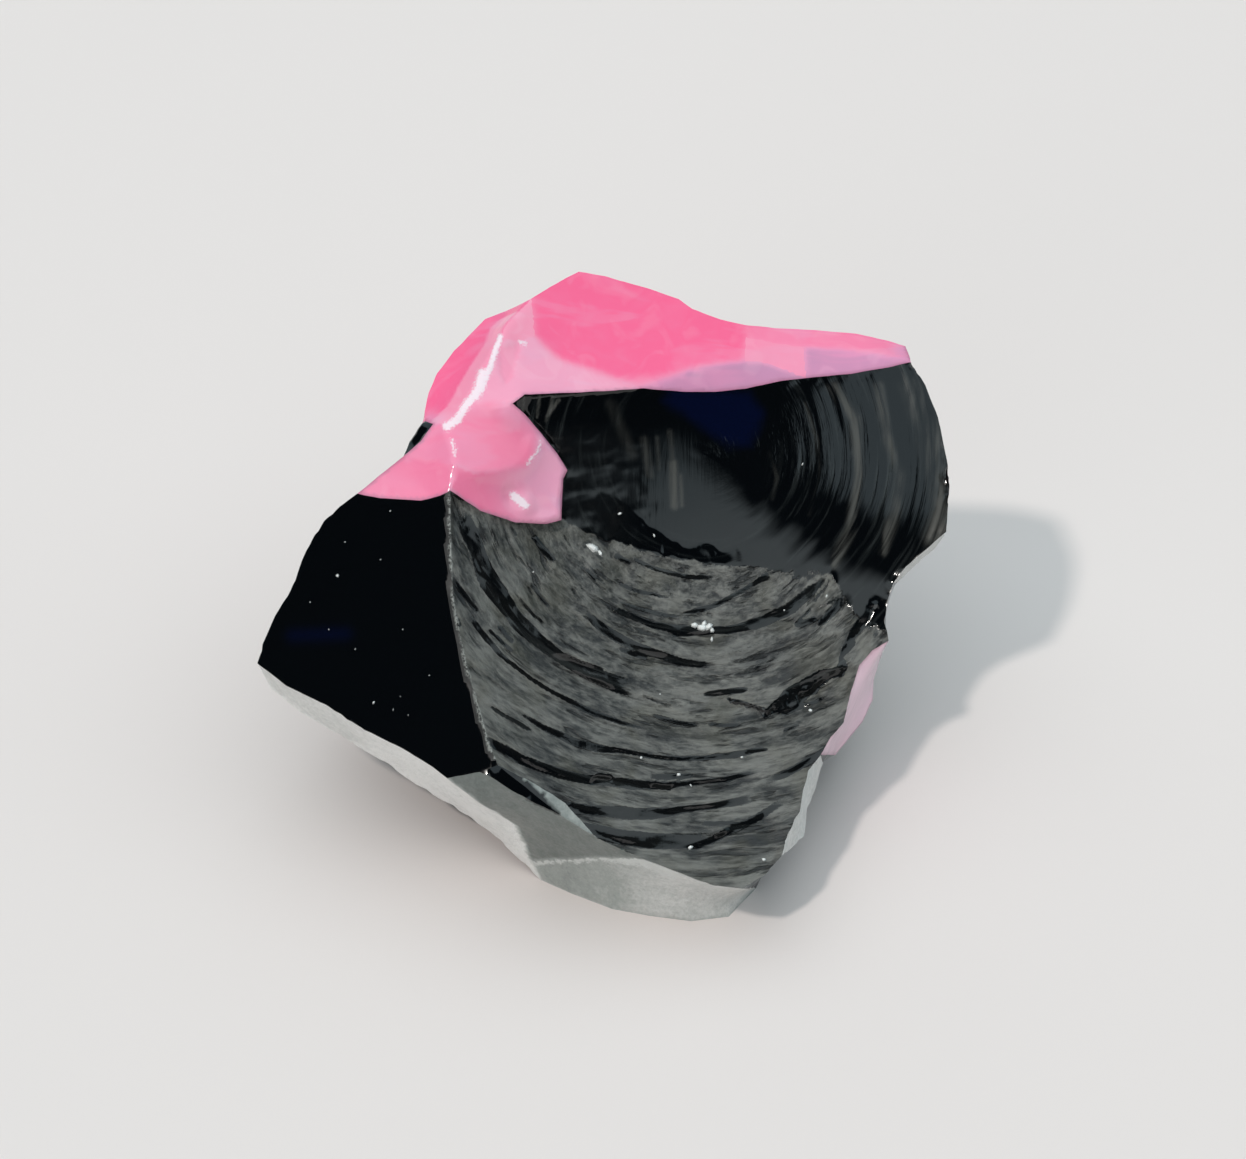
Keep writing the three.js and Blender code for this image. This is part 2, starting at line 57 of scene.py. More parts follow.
CORNER_RUNS = {
    "ridge": [
        (-14.9, -2.2, 34.9), (-14.9, -4.5, 32.4), (-14.8, -6.9, 30.1), (-14.5, -10.2, 27.2),
        (-13.4, -14.1, 23.7), (-11.2, -20.3, 19), (-10.2, -22.3, 17.6),
    ],
    "shoulder": [
        (-24.1, 0.1, 32.5), (-21.8, -0.8, 32.7), (-17.8, -2.1, 33.5), (-15.9, -2.3, 34.3),
    ],
    "nape": [
        (-21.8, 1.4, 33.9),
    ],
    "belly": [
        (-11.9, -22.4, 16.8), (-15.1, -22, 15.5), (-16.7, -20.7, 15.9), (-19.7, -18.7, 16.4),
        (-23.7, -16.3, 16.7), (-27.7, -13.5, 17.4), (-31.2, -11.4, 17.7),
    ],
    "tip": [
        (-34.1, -9.1, 18.5),
    ],
    "wing": [
        (-33.6, -7.9, 19.9), (-32.3, -6.2, 22.2), (-30.3, -4.3, 25.1), (-29.5, -2.7, 27),
        (-27.8, -1.1, 29.5), (-26.3, -0.4, 30.9),
    ],
    "skirt": [
        (-8.4, -19.1, 0.9), (-11.4, -17.1, 3), (-14.9, -15.7, 5), (-18.3, -15.3, 7.5),
        (-22.2, -14, 10), (-27.1, -11.8, 12), (-30.1, -10.3, 13), (-33.1, -8.4, 14.5),
        (-33.8, -8, 16),
    ],
    "foot": [
        (-6.4, -20.8, 0), (-3.2, -22.7, 0), (0.7, -24.7, 0), (4.4, -25.6, 0), (8.4, -26.3, 0),
        (12.1, -25.7, 0), (14.9, -21.9, 0),
    ],
    "heel": [
        (-12.2, -22.1, 12.4), (-8.5, -20.9, 7.8), (-7.3, -20.2, 2.2),
    ],
    "sliver": [
        (-11.1, -22.9, 16.8), (-8, -23.9, 15), (-4.4, -24.7, 13.4),
    ],
    "shelf": [
        (-0.4, -25.2, 8), (-5.9, -21.3, 3.6),
    ],
    "lip": [
        (-6.6, -22.8, 15.6), (-3.8, -23.8, 14), (-0.7, -26.6, 12), (3.6, -27.7, 10.4),
        (5.8, -28.3, 9.8), (10.1, -29.6, 8.7), (13.2, -29.7, 8.3), (15.4, -28, 8.5),
        (17, -26, 8.9), (17.8, -23.5, 9.6), (18.9, -21.3, 10.2), (19.3, -19.1, 11),
        (19.9, -17.1, 11.7), (21.1, -15.6, 12.3), (22.1, -14, 13.1), (23.4, -12.6, 13.8),
        (24.2, -9.8, 15.3), (25.1, -7.5, 16.7), (26.4, -6.3, 17.6), (28, -5.7, 18.3),
    ],
    "rim": [
        (-9, 5.5, 39.4), (-7.8, 6.4, 39.8), (-2.9, 8.3, 38.5), (3.5, 10.3, 37.4),
        (7.4, 11, 36.5), (11, 11.5, 36), (13.9, 11.9, 36.1), (17.4, 12.5, 36.6),
        (19.9, 12.6, 36.9), (24.3, 12.6, 37.4), (28.2, 12.6, 38.3), (30.2, 12.5, 39),
    ],
    "cheek": [
        (31.6, 11.1, 37.2), (32.9, 9.2, 34.6), (33.7, 6.9, 31.7), (34.1, 5.3, 29.8),
        (33.9, 3.4, 27.6), (33.7, 1.9, 26),
    ],
    "bite": [
        (32, 1.1, 24.6), (29.8, 0.1, 23), (28.6, -1, 21.8), (27.9, -2.5, 20.5),
        (27.7, -4.1, 19.3),
    ],
    "gill": [
        (33.8, 3.7, 23.9), (33, 4.3, 21.6), (30.5, 3.9, 18.9), (29.3, 2.1, 19.1),
    ],
    "sill": [
        (17.8, -23.2, 6.7), (19.5, -20.2, 5.6), (19.8, -18.1, 6.5), (20.8, -15, 6.9),
        (21.6, -12.7, 8),
    ],
    "vein": [
        (23.1, -8.8, 5.5), (26, -4.5, 5.9), (27.1, -2.6, 7.2), (27.2, -1.5, 9.2),
        (27.9, -2.1, 13.7),
    ],
    "skyline": [
        (-2.7, 22.9, 42.3), (0, 22.6, 41.9), (4.5, 21.7, 41), (7.3, 20.7, 40.5),
        (8.7, 19.6, 40.1), (11.5, 18.7, 39.5), (14, 18.2, 39.2), (17, 18.2, 38.8),
        (21.5, 18.2, 38.5), (25, 17.8, 38.4), (27.9, 16.9, 38.3), (29.9, 15.9, 38.3),
    ],
    "crease": [
        (14, 16.9, 38.6), (13.9, 14.1, 37.9), (9.4, 13.2, 37.9), (5.9, 11.7, 37.6),
        (16.1, 14.2, 37.5), (19.7, 15.7, 38.3), (22.9, 15.7, 38.3), (26.3, 14.8, 38.4),
    ],
    "brow": [
        (-17.7, 7.4, 36.8), (-17.4, 9.8, 37.3), (-16.6, 12, 38), (-15, 14.7, 38.7),
        (-13.3, 16.7, 39.4), (-12, 18.1, 40), (-10, 19, 40.3), (-7.4, 19.4, 41.5),
        (-5.5, 20.9, 41.9),
    ],
    "chip": [
        (-19.6, 2.4, 35.3), (-19, 5.2, 35.4), (-17.6, 5.9, 36.9), (-16.7, 4.6, 37.6),
        (-17.9, 3.3, 36.5),
    ],
    "crest": [
        (-15.5, 3.6, 37.9), (-14.2, 5, 38.7), (-13.1, 7, 39.5), (-11.9, 9.6, 40.5),
        (-10.3, 13.3, 41.5), (-9.8, 15.4, 41.7),
    ],
    "drop": [
        (-14.7, 1.7, 37.4), (-14.5, -0.2, 36.6),
    ],
    "soft": [
        (-7, 14.9, 40.4), (-8.4, 13.8, 40.6), (-4.8, 12.9, 39.1), (-0.5, 11.6, 38.3),
        (-11.7, 5.9, 39.2),
    ],
    "tongue": [
        (-12.1, -2.2, 32.3), (-8.7, -1.5, 30.2), (-5.8, -0.5, 29.1), (-4.3, 0.3, 28.9),
        (-4.1, 3, 31.9), (-3.7, 3.7, 32.5), (-4.7, 4.4, 34), (-6.3, 5, 36.2), (-7.8, 5.4, 38.1),
    ],
    "dip": [
        (-6.7, 4, 35.9), (-7, 3, 35), (-7.7, 2.1, 34.4), (-10.1, 0.6, 35), (-12.5, -0.5, 35.7),
    ],
    "rear": [
        (-20.2, 12.7, 24.5), (-13.2, 22.7, 25), (7.8, 29.7, 26), (26.8, 22.7, 26),
        (25.8, 15.7, 11), (22.8, 3.7, 3), (7.8, 25.7, 10), (-17.2, 16.7, 13), (-26.2, 2.7, 11),
        (-15.2, -3.3, 2.5),
    ],
    "under": [
        (15.8, -19.3, 0), (17.3, -11.3, 0), (18.8, -1.3, 0), (15.8, 10.7, 0), (2.8, 16.7, 0),
        (-9.2, 10.7, 0), (-12.2, -2.3, 0), (-10.2, -14.3, 0),
    ],
}

# Each face: the corners around it, its glass, its hollow (1 / radius) and point spacing.
# The undercut faces of pale glass are black glass painted pale grey-green: a painted reflection of the lit floor.
FACES = [
    ("front", "lip1-20 bite5-1 cheek6-1 rim12-1 tongue9-1 ridge1-7", "black", 1 / BOWL_RADIUS, 0.24),
    ("left", "wing6-1 tip1 belly7-1 ridge7-1 shoulder4-1", "black", 1 / 400, 0.55),
    ("left_under", "skirt9-4 belly3-7 tip1", "pale", 0, 0.4),
    ("front_under_left", "skirt4-1 foot1 heel3-1 belly2-3", "pale", 0, 0.4),
    ("front_under", "heel1-3 shelf2-1 lip4-3 sliver3-1 belly1-2", "pale", 0, 0.35),
    ("sliver", "belly1 sliver1-3 ridge7", "black", 0, 0.4),
    ("band", "sliver3 lip3-1 ridge7", "pale", 0, 0.35),
    ("foot", "shelf1-2 heel3 foot1-7 lip7-4", "pale", 0, 0.35),
    ("shoulder", "ridge1 drop2-1 crest1 chip4-5 chip1 nape1 shoulder1-4", "pink", 1 / 40, 0.35),
    ("left_crest", "brow8-1 chip3-4 crest1-6", "pink", 1 / 50, 0.35),
    ("crest_tip", "soft2-1 brow8 crest6-5", "pink", 0, 0.35),
    ("crest_front", "soft5 rim1-4 soft4-3 soft1-2 crest5-2", "pink", 1 / 60, 0.35),
    ("top", "brow9-8 soft1 soft3-4 rim4 crease4-1 skyline7-1", "pink", 1 / 60, 0.4),
    ("top_mid", "crease5 crease2-4 rim4-9", "pink", 0, 0.35),
    ("star", "crease5 rim9 crease6 crease1-2", "pink", 0, 0.35),
    ("top_right", "rim9-12 crease8-6", "pink", 0, 0.35),
    ("top_strip", "crease1 crease6-8 rim12 skyline12-7", "pink", 0, 0.35),
    ("tongue_deep", "drop1-2 dip5-1 tongue8-9 rim1 soft5 crest2-1", "pink", 1 / 40, 0.3),
    ("tongue_lip", "ridge1 tongue1-8 dip1-5 drop2", "pink", 1 / 30, 0.3),
    ("notch", "bite1-3 gill4-1 cheek6", "pale", 0, 0.4),
    ("right_upper", "rim12 cheek1-6 gill1-4 rear5-4 skyline12", "black", 1 / 70, 0.55),
    ("right_mid", "bite3-5 lip20 vein5-3 rear6-5 gill4", "black", 0, 0.55),
    ("pink_side", "vein1-5 lip20-14", "pink", 0, 0.4),
    ("right_low", "lip14 sill5-3 under2-3 rear6 vein3-1", "black", 0, 0.6),
    ("right_foot", "sill1-5 lip14-9", "pale", 0, 0.4),
    ("right_under", "under1-2 sill3-1 lip9-7 foot7", "black", 0, 0.5),
    ("base", "under8-1 foot7-1", "black", 0, 0.9),
    ("black_chip", "chip5-1", "black", 0, 0.3),
    ("back_left_mid", "brow1-6 rear2-1 chip1-3", "black", 0, 0.55),
    ("back_left", "wing1-6 shoulder1 nape1 chip1 rear1 rear9 tip1", "black", 1 / 80, 0.55),
    ("left_low", "rear9-10 skirt3-9 tip1", "black", 0, 0.6),
    ("left_low_base", "rear10 under7-8 foot1 skirt1-3", "black", 0, 0.6),
    ("back_low_left", "under6-7 rear10-8", "black", 0, 0.6),
    ("back_left_low", "rear8-9 rear1-2", "black", 0, 0.6),
    ("back_top_left", "skyline1-5 rear3-2 brow6-9", "black", 1 / 70, 0.55),
    ("back_top_right", "skyline5-12 rear4-3", "black", 1 / 60, 0.55),
    ("back", "rear7 under5-6 rear8 rear2-3", "black", 1 / 90, 0.55),
    ("back_right", "rear3-5 rear7", "black", 1 / 80, 0.55),
    ("back_right_low", "rear5-6 under3-5 rear7", "black", 0, 0.6),
]

# Places on the stone are given as the camera sees them, in mm: across, up from the middle.

# Ripples, small ledges round the struck place: reach straight below it, change of reach with
# angle, width of the wall, and the first and last angle, from straight down, positive to the right.
RIPPLES = [
    (12.4, 0.0, 0.45, -0.55, 0.10), (14.6, -1.2, 0.40, -0.55, -0.20), (15.7, -4.5, 0.50, -0.10, 0.52),
    (16.4, -1.0, 0.45, -0.48, -0.12), (17.65, 0.0, 0.85, -0.50, 0.80), (20.95, 2.2, 0.75, -0.60, 0.05),
    (24.3, 0.4, 1.50, -1.30, -0.30), (25.7, 1.2, 0.60, -0.52, -0.28), (28.4, 0.5, 0.50, -0.95, -0.20),
    (30.6, -2.0, 0.60, -0.60, 0.20), (33.0, -4.0, 0.90, -0.66, 0.16), (35.5, -5.5, 0.90, -0.44, 0.14),
    (38.4, -2.0, 1.30, -0.36, 0.02), (39.1, -15.0, 0.80, -0.02, 0.22), (34.5, -5.4, 0.80, 0.20, 0.50),
]
RIPPLE_FADE = 0.12
RIPPLE_RISE = 1.4                 # how far the surface takes to rise to a ledge and recover after it
WALLS_FACE = np.array((0.025, -0.85, 0.53))  # the direction that the walls of ledges and steps turn towards

# Gentle waves up the right side: reach, width and height.
WAVES = [
    (14.5, 0.8, 0.05), (16.2, 0.6, 0.04), (17.9, 1.4, 0.11), (19.6, 0.7, 0.05), (20.6, 0.9, 0.06), (22.0, 0.7, 0.06),
    (23.2, 1.0, 0.10), (24.6, 0.9, 0.06), (26.0, 0.6, 0.05),
]

# The hinge step low on the right: across, up, the depth of the drop and the width of its wall.
STEP = [
    (8.5, -11.0, 0.0, 0.3), (11.2, -11.8, 0.30, 0.6), (13.5, -12.5, 0.35, 0.6), (14.3, -12.9, 0.5, 0.9),
    (15.6, -11.8, 0.75, 1.7), (16.9, -10.7, 0.85, 1.9), (18.9, -9.4, 0.8, 1.8), (21.4, -8.7, 0.5, 1.0),
    (21.6, -7.6, 0.3, 0.5), (22.4, -5.9, 0.6, 0.9), (23.6, -3.8, 0.8, 1.2), (24.2, -2.4, 0.2, 0.9), (24.6, -1.0, 0.0, 0.6),
]
STEP_RUNOUT = 1.5
SMOOTH_PATCH = (13.6, -7.6, 4.6, 2.0)      # a less grained patch above the step: place and half sizes

SMALL_LEDGES = 80
LEDGE_SEED = 9

CHIP_LEAN = 0.35                  # how far the black chip's floor leans forward, as a slope
CREST_SCAR = [                    # a shallow flake scar beside the crest
    (-12.3, 23.4), (-11.3, 23.3), (-10.2, 23.6), (-10.4, 22.4), (-11.1, 20.2), (-11.8, 19.4), (-12.4, 20.9),
]

# The rough grained part of the bowl lies below this line: across, up.
GRAIN_LINE = [
    (-20.0, 9.0), (-8.0, 7.5), (-6.3, 6.4), (-2.3, 4.6), (1.7, 2.9), (7.7, 1.9),
    (13.7, 1.2), (17.7, 0.9), (21.5, 0.4), (23.0, -1.5), (24.5, -4.5), (34.0, -7.5),
]


def smooth(low, high, value):
    t = np.clip((value - low) / (high - low), 0, 1)
    return t * t * (3 - 2 * t)


def cell_values(cells, seed):
    """A fixed value from -1 to 1 for each whole-number cell."""
    h = cells[..., 0] * 374761393 + cells[..., 1] * 668265263 + cells[..., 2] * 1274126177 + seed * 69069
    h = (h ^ (h >> 13)) & 0xFFFFFFFF
    h = (h * 1103515245 + 12345) & 0xFFFFFFFF
    h = h ^ (h >> 16)
    return (h & 0xFFFFFF) / 0x7FFFFF - 1.0


def noise(points, seed):
    """Smooth noise of unit wavelength at N points with 3 coordinates, about -1 to 1."""
    cells = np.floor(points).astype(np.int64)
    part = points - cells
    part = part * part * (3 - 2 * part)
    total = np.zeros(len(points))
    for dx in (0, 1):
        for dy in (0, 1):
            for dz in (0, 1):
                share = np.abs(1 - dx - part[:, 0]) * np.abs(1 - dy - part[:, 1]) * np.abs(1 - dz - part[:, 2])
                total += share * cell_values(cells + (dx, dy, dz), seed)
    return total


def layered_noise(points, seed, layers=3):
    total = np.zeros(len(points))
    size = 1.0
    for layer in range(layers):
        total += noise(points / size, seed + layer) * size
        size /= 2
    return total / 1.6


def flat_noise(across, up, seed, layers=3):
    return layered_noise(np.column_stack((across, up, np.full(len(across), seed * 1.37))), seed, layers)


def corners_around(text):
    names = []
    for word in text.split():
        first, _, last = word.partition("-")
        stem = first.rstrip("0123456789")
        start = int(first[len(stem):])
        end = int(last) if last else start
        way = 1 if end >= start else -1
        names += [stem + str(i) for i in range(start, end + way, way)]
    return names


CORNERS = {}
for run_name, run_points in CORNER_RUNS.items():
    for number, point in enumerate(run_points):
        CORNERS[run_name + str(number + 1)] = np.array(point, float)


class Edges:
    """Points along each edge, made once and shared by the two faces that meet there."""

    def __init__(self):
        self.points = []
        self.corner_index = {}
        self.inner = {}
        self.spacing = {}
        self.faces = {}
        for name, around, glass, hollow, spacing in FACES:
            names = corners_around(around)
            for a, b in zip(names, names[1:] + names[:1]):
                key = tuple(sorted((a, b)))
                self.spacing[key] = min(self.spacing.get(key, 99), spacing)
                self.faces.setdefault(key, []).append((name, glass))

    def corner(self, name):
        if name not in self.corner_index:
            self.corner_index[name] = len(self.points)
            self.points.append(CORNERS[name])
        return self.corner_index[name]

    def along(self, a, b):
        """Point numbers from corner a up to, not counting, corner b."""
        key = tuple(sorted((a, b)))
        first, last = self.corner(a), self.corner(b)
        if key not in self.inner:
            start, end = CORNERS[key[0]], CORNERS[key[1]]
            parts = max(1, round(float(np.linalg.norm(end - start)) / self.spacing[key]))
            numbers = []
            for i in range(1, parts):
                numbers.append(len(self.points))
                self.points.append(start + (end - start) * i / parts)
            self.inner[key] = numbers
        numbers = self.inner[key]
        return [first] + (numbers if key[0] == a else numbers[::-1])


def in_chunks(function, points, size=3000):
    return np.concatenate([function(points[i:i + size]) for i in range(0, len(points), size)])


def inside_loop(points, loop):
    a, b = loop, np.roll(loop, 1, axis=0)
    u, v = points[:, 0:1], points[:, 1:2]
    crosses = (a[:, 1] > v) != (b[:, 1] > v)
    rise = np.where(b[:, 1] == a[:, 1], 1, b[:, 1] - a[:, 1])
    left = u < (b[:, 0] - a[:, 0]) * (v - a[:, 1]) / rise + a[:, 0]
    return (crosses & left).sum(axis=1) % 2 == 1


def distance_to_path(points, starts, ends):
    """Distance from each point to the nearest of the segments, in two or three coordinates."""
    way = ends - starts
    offset = points[:, None, :] - starts[None]
    t = np.clip((offset * way).sum(2) / np.maximum((way * way).sum(1), 1e-12), 0, 1)
    return np.linalg.norm(offset - t[..., None] * way, axis=2).min(axis=1)


def spread_inward(points, loop, values):
    """Mean value interpolation of the loop's values at the points inside it."""
    d = loop[None] - points[:, None]
    r = np.linalg.norm(d, axis=2)
    after = np.roll(d, -1, axis=1)
    turned = d[..., 0] * after[..., 1] - d[..., 1] * after[..., 0]
    half = np.tan(np.arctan2(turned, (d * after).sum(2)) / 2)
    weight = (half + np.roll(half, 1, axis=1)) / r
    return (weight @ values) / weight.sum(axis=1)


def unit(vector):
    return vector / np.linalg.norm(vector)


def seen_place(points):
    """Across and up as the camera sees the points, in mm at the stone's middle."""
    offset = points - SLOPE_CENTRE
    up = offset[:, 1] * math.sin(SLOPE) + offset[:, 2] * math.cos(SLOPE)
    nearer = offset[:, 2] * math.sin(SLOPE) - offset[:, 1] * math.cos(SLOPE)
    scale = CAMERA_REACH / (CAMERA_REACH - nearer)
    return offset[:, 0] * scale, up * scale


def polar(across, up):
    """Reach and angle from the struck place, a little unevenly, as in real glass."""
    dx = across - STRUCK[0] + 0.35 * flat_noise(across / 7, up / 7, 11, 2)
    dy = STRUCK[1] - up + 0.35 * flat_noise(across / 7, up / 7, 12, 2)
    return np.hypot(dx, dy), np.arctan2(dx, dy)


def path_reach(across, up, path):
    path = np.array(path)
    return distance_to_path(np.column_stack((across, up)), path[:-1], path[1:])


def wall_slope(turn, right, down):
    """Slope of a wall that falls along the given as-seen direction and faces as WALLS_FACE."""
    right, down = np.zeros(len(turn)) + right, np.zeros(len(turn)) + down
    way = np.column_stack((right, -down * math.sin(SLOPE), -down * math.cos(SLOPE)))
    return np.clip((turn * way).sum(axis=1), 0.2, 1.1)


def step_drop(across, up, turn):
    """How far the surface drops beyond the hinge step, and where its wall is painted dark: painted shade."""
    across = across + 0.45 * flat_noise(across / 1.1, up / 1.1, 21)
    up = up + 0.45 * flat_noise(across / 1.1, up / 1.1, 22)
    nearest = np.full(len(across), 1e9)
    beyond = np.full(len(across), -1e9)
    depth = np.zeros(len(across))
    wall = np.ones(len(across))
    slope = np.zeros(len(across))
    for (ax, ay, ad, aw), (bx, by, bd, bw) in zip(STEP, STEP[1:]):
        t = np.clip(((across - ax) * (bx - ax) + (up - ay) * (by - ay)) / ((bx - ax) ** 2 + (by - ay) ** 2), 0, 1)
        ox, oy = across - ax - t * (bx - ax), up - ay - t * (by - ay)
        distance = np.hypot(ox, oy)
        side = np.sign(ox * (by - ay) - oy * (bx - ax))
        closer = distance < nearest
        nearest = np.where(closer, distance, nearest)
        beyond = np.where(closer, distance * side, beyond)
        depth = np.where(closer, ad + t * (bd - ad), depth)
        wall = np.where(closer, aw + t * (bw - aw), wall)
        long = math.hypot(bx - ax, by - ay)
        slope = np.where(closer, wall_slope(turn, (by - ay) / long, (bx - ax) / long), slope)
    drop = np.minimum(1.7 * slope, 0.95) * wall * smooth(0.05, 0.3, depth) * np.clip(beyond / wall, 0, 1) * np.exp(-np.maximum(beyond - wall, 0) / STEP_RUNOUT)
    dark = smooth(-0.15, 0.15, beyond) * (1 - smooth(wall - 0.15, wall + 0.15, beyond)) * smooth(0.1, 0.35, depth)
    return drop, dark


def ledges(reach, arc, spacing, seed):
    """Overlapping flakes along the arcs, like the grain of split wood, and their small walls, which get painted shade.
    """
    phase = reach / spacing + 0.9 * flat_noise(reach / (spacing * 2.2), arc / (spacing * 4.5), seed, 3)
    part = phase - np.floor(phase)
    tooth = np.where(part < 0.75, part / 0.75, (1 - part) / 0.25) - 0.5
    present = smooth(-0.25, 0.35, flat_noise(reach / (spacing * 1.5), arc / (spacing * 3.0), seed + 5, 2))
    wall = np.clip(1 - np.abs(part - 0.86) / 0.13, 0, 1)
    return tooth * present, wall * present


def ledge(away, width, rise_length):
    """Height of a ledge of unit wall, and where its wall gets painted shade, at a distance beyond its brink."""
    rise = smooth(-rise_length - width, 0, away)
    drop = np.clip(away / width, 0, 1)
    recover = smooth(width, rise_length * 2, away)
    return 0.45 * rise - drop + 0.55 * recover, smooth(-0.16, 0.14, away) * (1 - smooth(width - 0.14, width + 0.16, away))


def ripples(across, up, reach, angle, turn):
    """The named ripples and many small flakes between them: height, and where their walls get painted shade."""
    height = np.zeros(len(across))
    dark = np.zeros(len(across))
    ragged = 0.14 * flat_noise(across / 1.5, up / 1.5, 47, 2)
    steepness = wall_slope(turn, np.sin(angle), np.cos(angle))

    for base, tilt, width, start, end in RIPPLES:
        there = smooth(start - RIPPLE_FADE, start + RIPPLE_FADE, angle) * (
            1 - smooth(end - RIPPLE_FADE, end + RIPPLE_FADE, angle))
        thick = width * (1 + 0.5 * flat_noise(reach / 3, angle * 5, 46, 2))
        rise, wall = ledge(reach + ragged - base - tilt * angle, np.maximum(thick, 0.3), RIPPLE_RISE)
        height += steepness * width * there * rise
        dark = np.maximum(dark, there * wall)
    draw = np.random.default_rng(LEDGE_SEED)
    for _ in range(SMALL_LEDGES):
        base, middle = draw.uniform(9, 45), draw.uniform(-1.3, 1.2)
        half = draw.uniform(0.7, 3.6) / base
        width, tilt, strength = draw.uniform(0.35, 0.7), draw.uniform(-5, 5), draw.uniform(0.5, 1.0)
        away = reach + ragged - base - tilt * (angle - middle)
        near = (np.abs(away) < 3) & (np.abs(angle - middle) < half)
        there = 1 - smooth(0.5 * half, half, np.abs(angle[near] - middle))
        rise, wall = ledge(away[near], width, 0.9)
        height[near] += steepness[near] * width * there * rise
        dark[near] = np.maximum(dark[near], strength * there * wall)
    return height, dark


def swirls(across, up):
    """Folded swirls in the smooth glass beside the tongue."""
    x = across + 1.3 * flat_noise(across / 3.2, up / 3.2, 71, 2)
    y = up + 1.3 * flat_noise(across / 3.2, up / 3.2, 72, 2)
    return flat_noise(x / 3.2, y / 1.5, 73)


def bowl_relief(across, up, turn):
    """Height of the bowl's surface detail, how grained it is, and where ledge walls get painted shade and patches get
    a blurred gloss.
    """
    reach, angle = polar(across, up)
    line = np.array(GRAIN_LINE)
    wander = 0.8 * flat_noise(across / 3.2, up / 3.2, 31) + 0.35 * flat_noise(across / 0.9, up / 1.6, 32, 2)
    softness = 1 + 2.2 * smooth(15, 20, across)
    below = np.interp(across, line[:, 0], line[:, 1]) - up + wander * softness
    grained = smooth(-0.5, 0.7, below / softness)
    height, wall_shade_and_blur = ripples(across, up, reach, angle, turn)
    height, wall_shade_and_blur = height * grained, wall_shade_and_blur * grained
    for base, width, depth in WAVES:
        there = smooth(0.95, 1.35, angle) * (1 - smooth(1.7, 2.2, angle))
        height += depth * there * ledge(reach + 0.5 * flat_noise(reach / 4, angle * 6, 48, 2) - base, width, 1.2)[0]
    arc = angle * 22
    broad, broad_wall = ledges(reach, arc, 2.1, 41)
    narrow, narrow_wall = ledges(reach, arc, 1.15, 51)
    height += grained * (0.14 * broad + 0.08 * narrow + 0.06 * flat_noise(reach / 0.6, arc / 2.2, 61, 2))
    wall_shade_and_blur = np.maximum(wall_shade_and_blur, grained * np.maximum(0.30 * broad_wall, 0.26 * narrow_wall))
    right = smooth(10, 15, across) * (1 - grained)
    height += right * 0.05 * flat_noise(reach / 0.9, arc / 11, 44, 2)
    height += 0.05 * flat_noise(across / 6, up / 6, 45, 2)
    fringe = below + 0.5 * flat_noise(across / 1.2, up / 6, 34, 2)
    patchy = (0.45 + 0.55 * smooth(-0.5, 0.5, flat_noise(across / 2.4, up / 4, 33, 2))) * smooth(15, 7, across)
    start = -1.6 - 2.6 * smooth(6, -1, across)
    deep = wall_slope(turn, 0 * up, 1) * (-0.1 - start) * patchy
    height -= deep * (np.clip((fringe - start) / (-0.1 - start), 0, 1) - smooth(0, 7, below))
    beside = (1 - grained) * smooth(4.5, -2.0, across) * smooth(17.5, 13.5, up)
    height += 0.13 * beside * swirls(across, up)
    drop, dark = step_drop(across, up, turn)
    height -= drop
    patch_x, patch_y, half_x, half_y = SMOOTH_PATCH
    calm = 1 - smooth(0.5, 1.1, np.hypot((across - patch_x) / half_x, (up - patch_y) / half_y) + 0.3 * wander)
    wall_shade_and_blur = np.maximum.reduce((wall_shade_and_blur, dark, 0.42 * calm, beside))
    wedge_left = (across - 13.6) * 0.98 + (up + 21.8) * -0.19
    wedge_right = (across - 13.6) * -0.74 - (up + 21.8) * 0.67
    height -= 0.2 * np.clip(np.minimum(wedge_left, wedge_right), 0, 3)
    return height, grained, wall_shade_and_blur


def plain_relief(name, points, clear):
    """Low relief of the faces other than the bowl."""
    if name == "left":
        return 0.012 * layered_noise(points / 9, 51, 1)
    if name == "black_chip":
        return CHIP_LEAN * (points[:, 1] - points[:, 1].mean())
    if name == "crest_front":
        across, up = seen_place(points)
        inside = in_chunks(lambda p: inside_loop(p, np.array(CREST_SCAR)), np.column_stack((across, up)))
        return 0.045 * layered_noise(points / 4, 52, 2) - 0.13 * inside
    if name in PINK_NAMES:
        return 0.045 * layered_noise(points / 4, 52, 2)
    if name in FLOOR_REFLECTION_NAMES:
        return 0.10 * layered_noise(points / 2.2, 53) + 0.05 * layered_noise(points / 0.8, 54, 2)
    if name == "base":
        return np.zeros(len(points))
    waves = np.zeros(len(points))
    centre = points.mean(axis=0) + np.array((6.0, -9.0, 14.0))
    far = np.linalg.norm(points - centre, axis=1) + 1.2 * layered_noise(points / 6, 55, 2)
    waves -= 0.13 * np.maximum(0, np.sin(far * 1.35)) ** 3
    waves -= 0.05 * np.maximum(0, np.sin(far * 3.7)) ** 2 * smooth(-0.2, 0.5, layered_noise(points / 7, 56, 2))
    return waves + 0.03 * layered_noise(points / 2.5, 57)


PINK_NAMES = {name for name, _, glass, _, _ in FACES if glass == "pink"}
FLOOR_REFLECTION_NAMES = {name for name, _, glass, _, _ in FACES if glass == "pale"}
FADE = 0.55


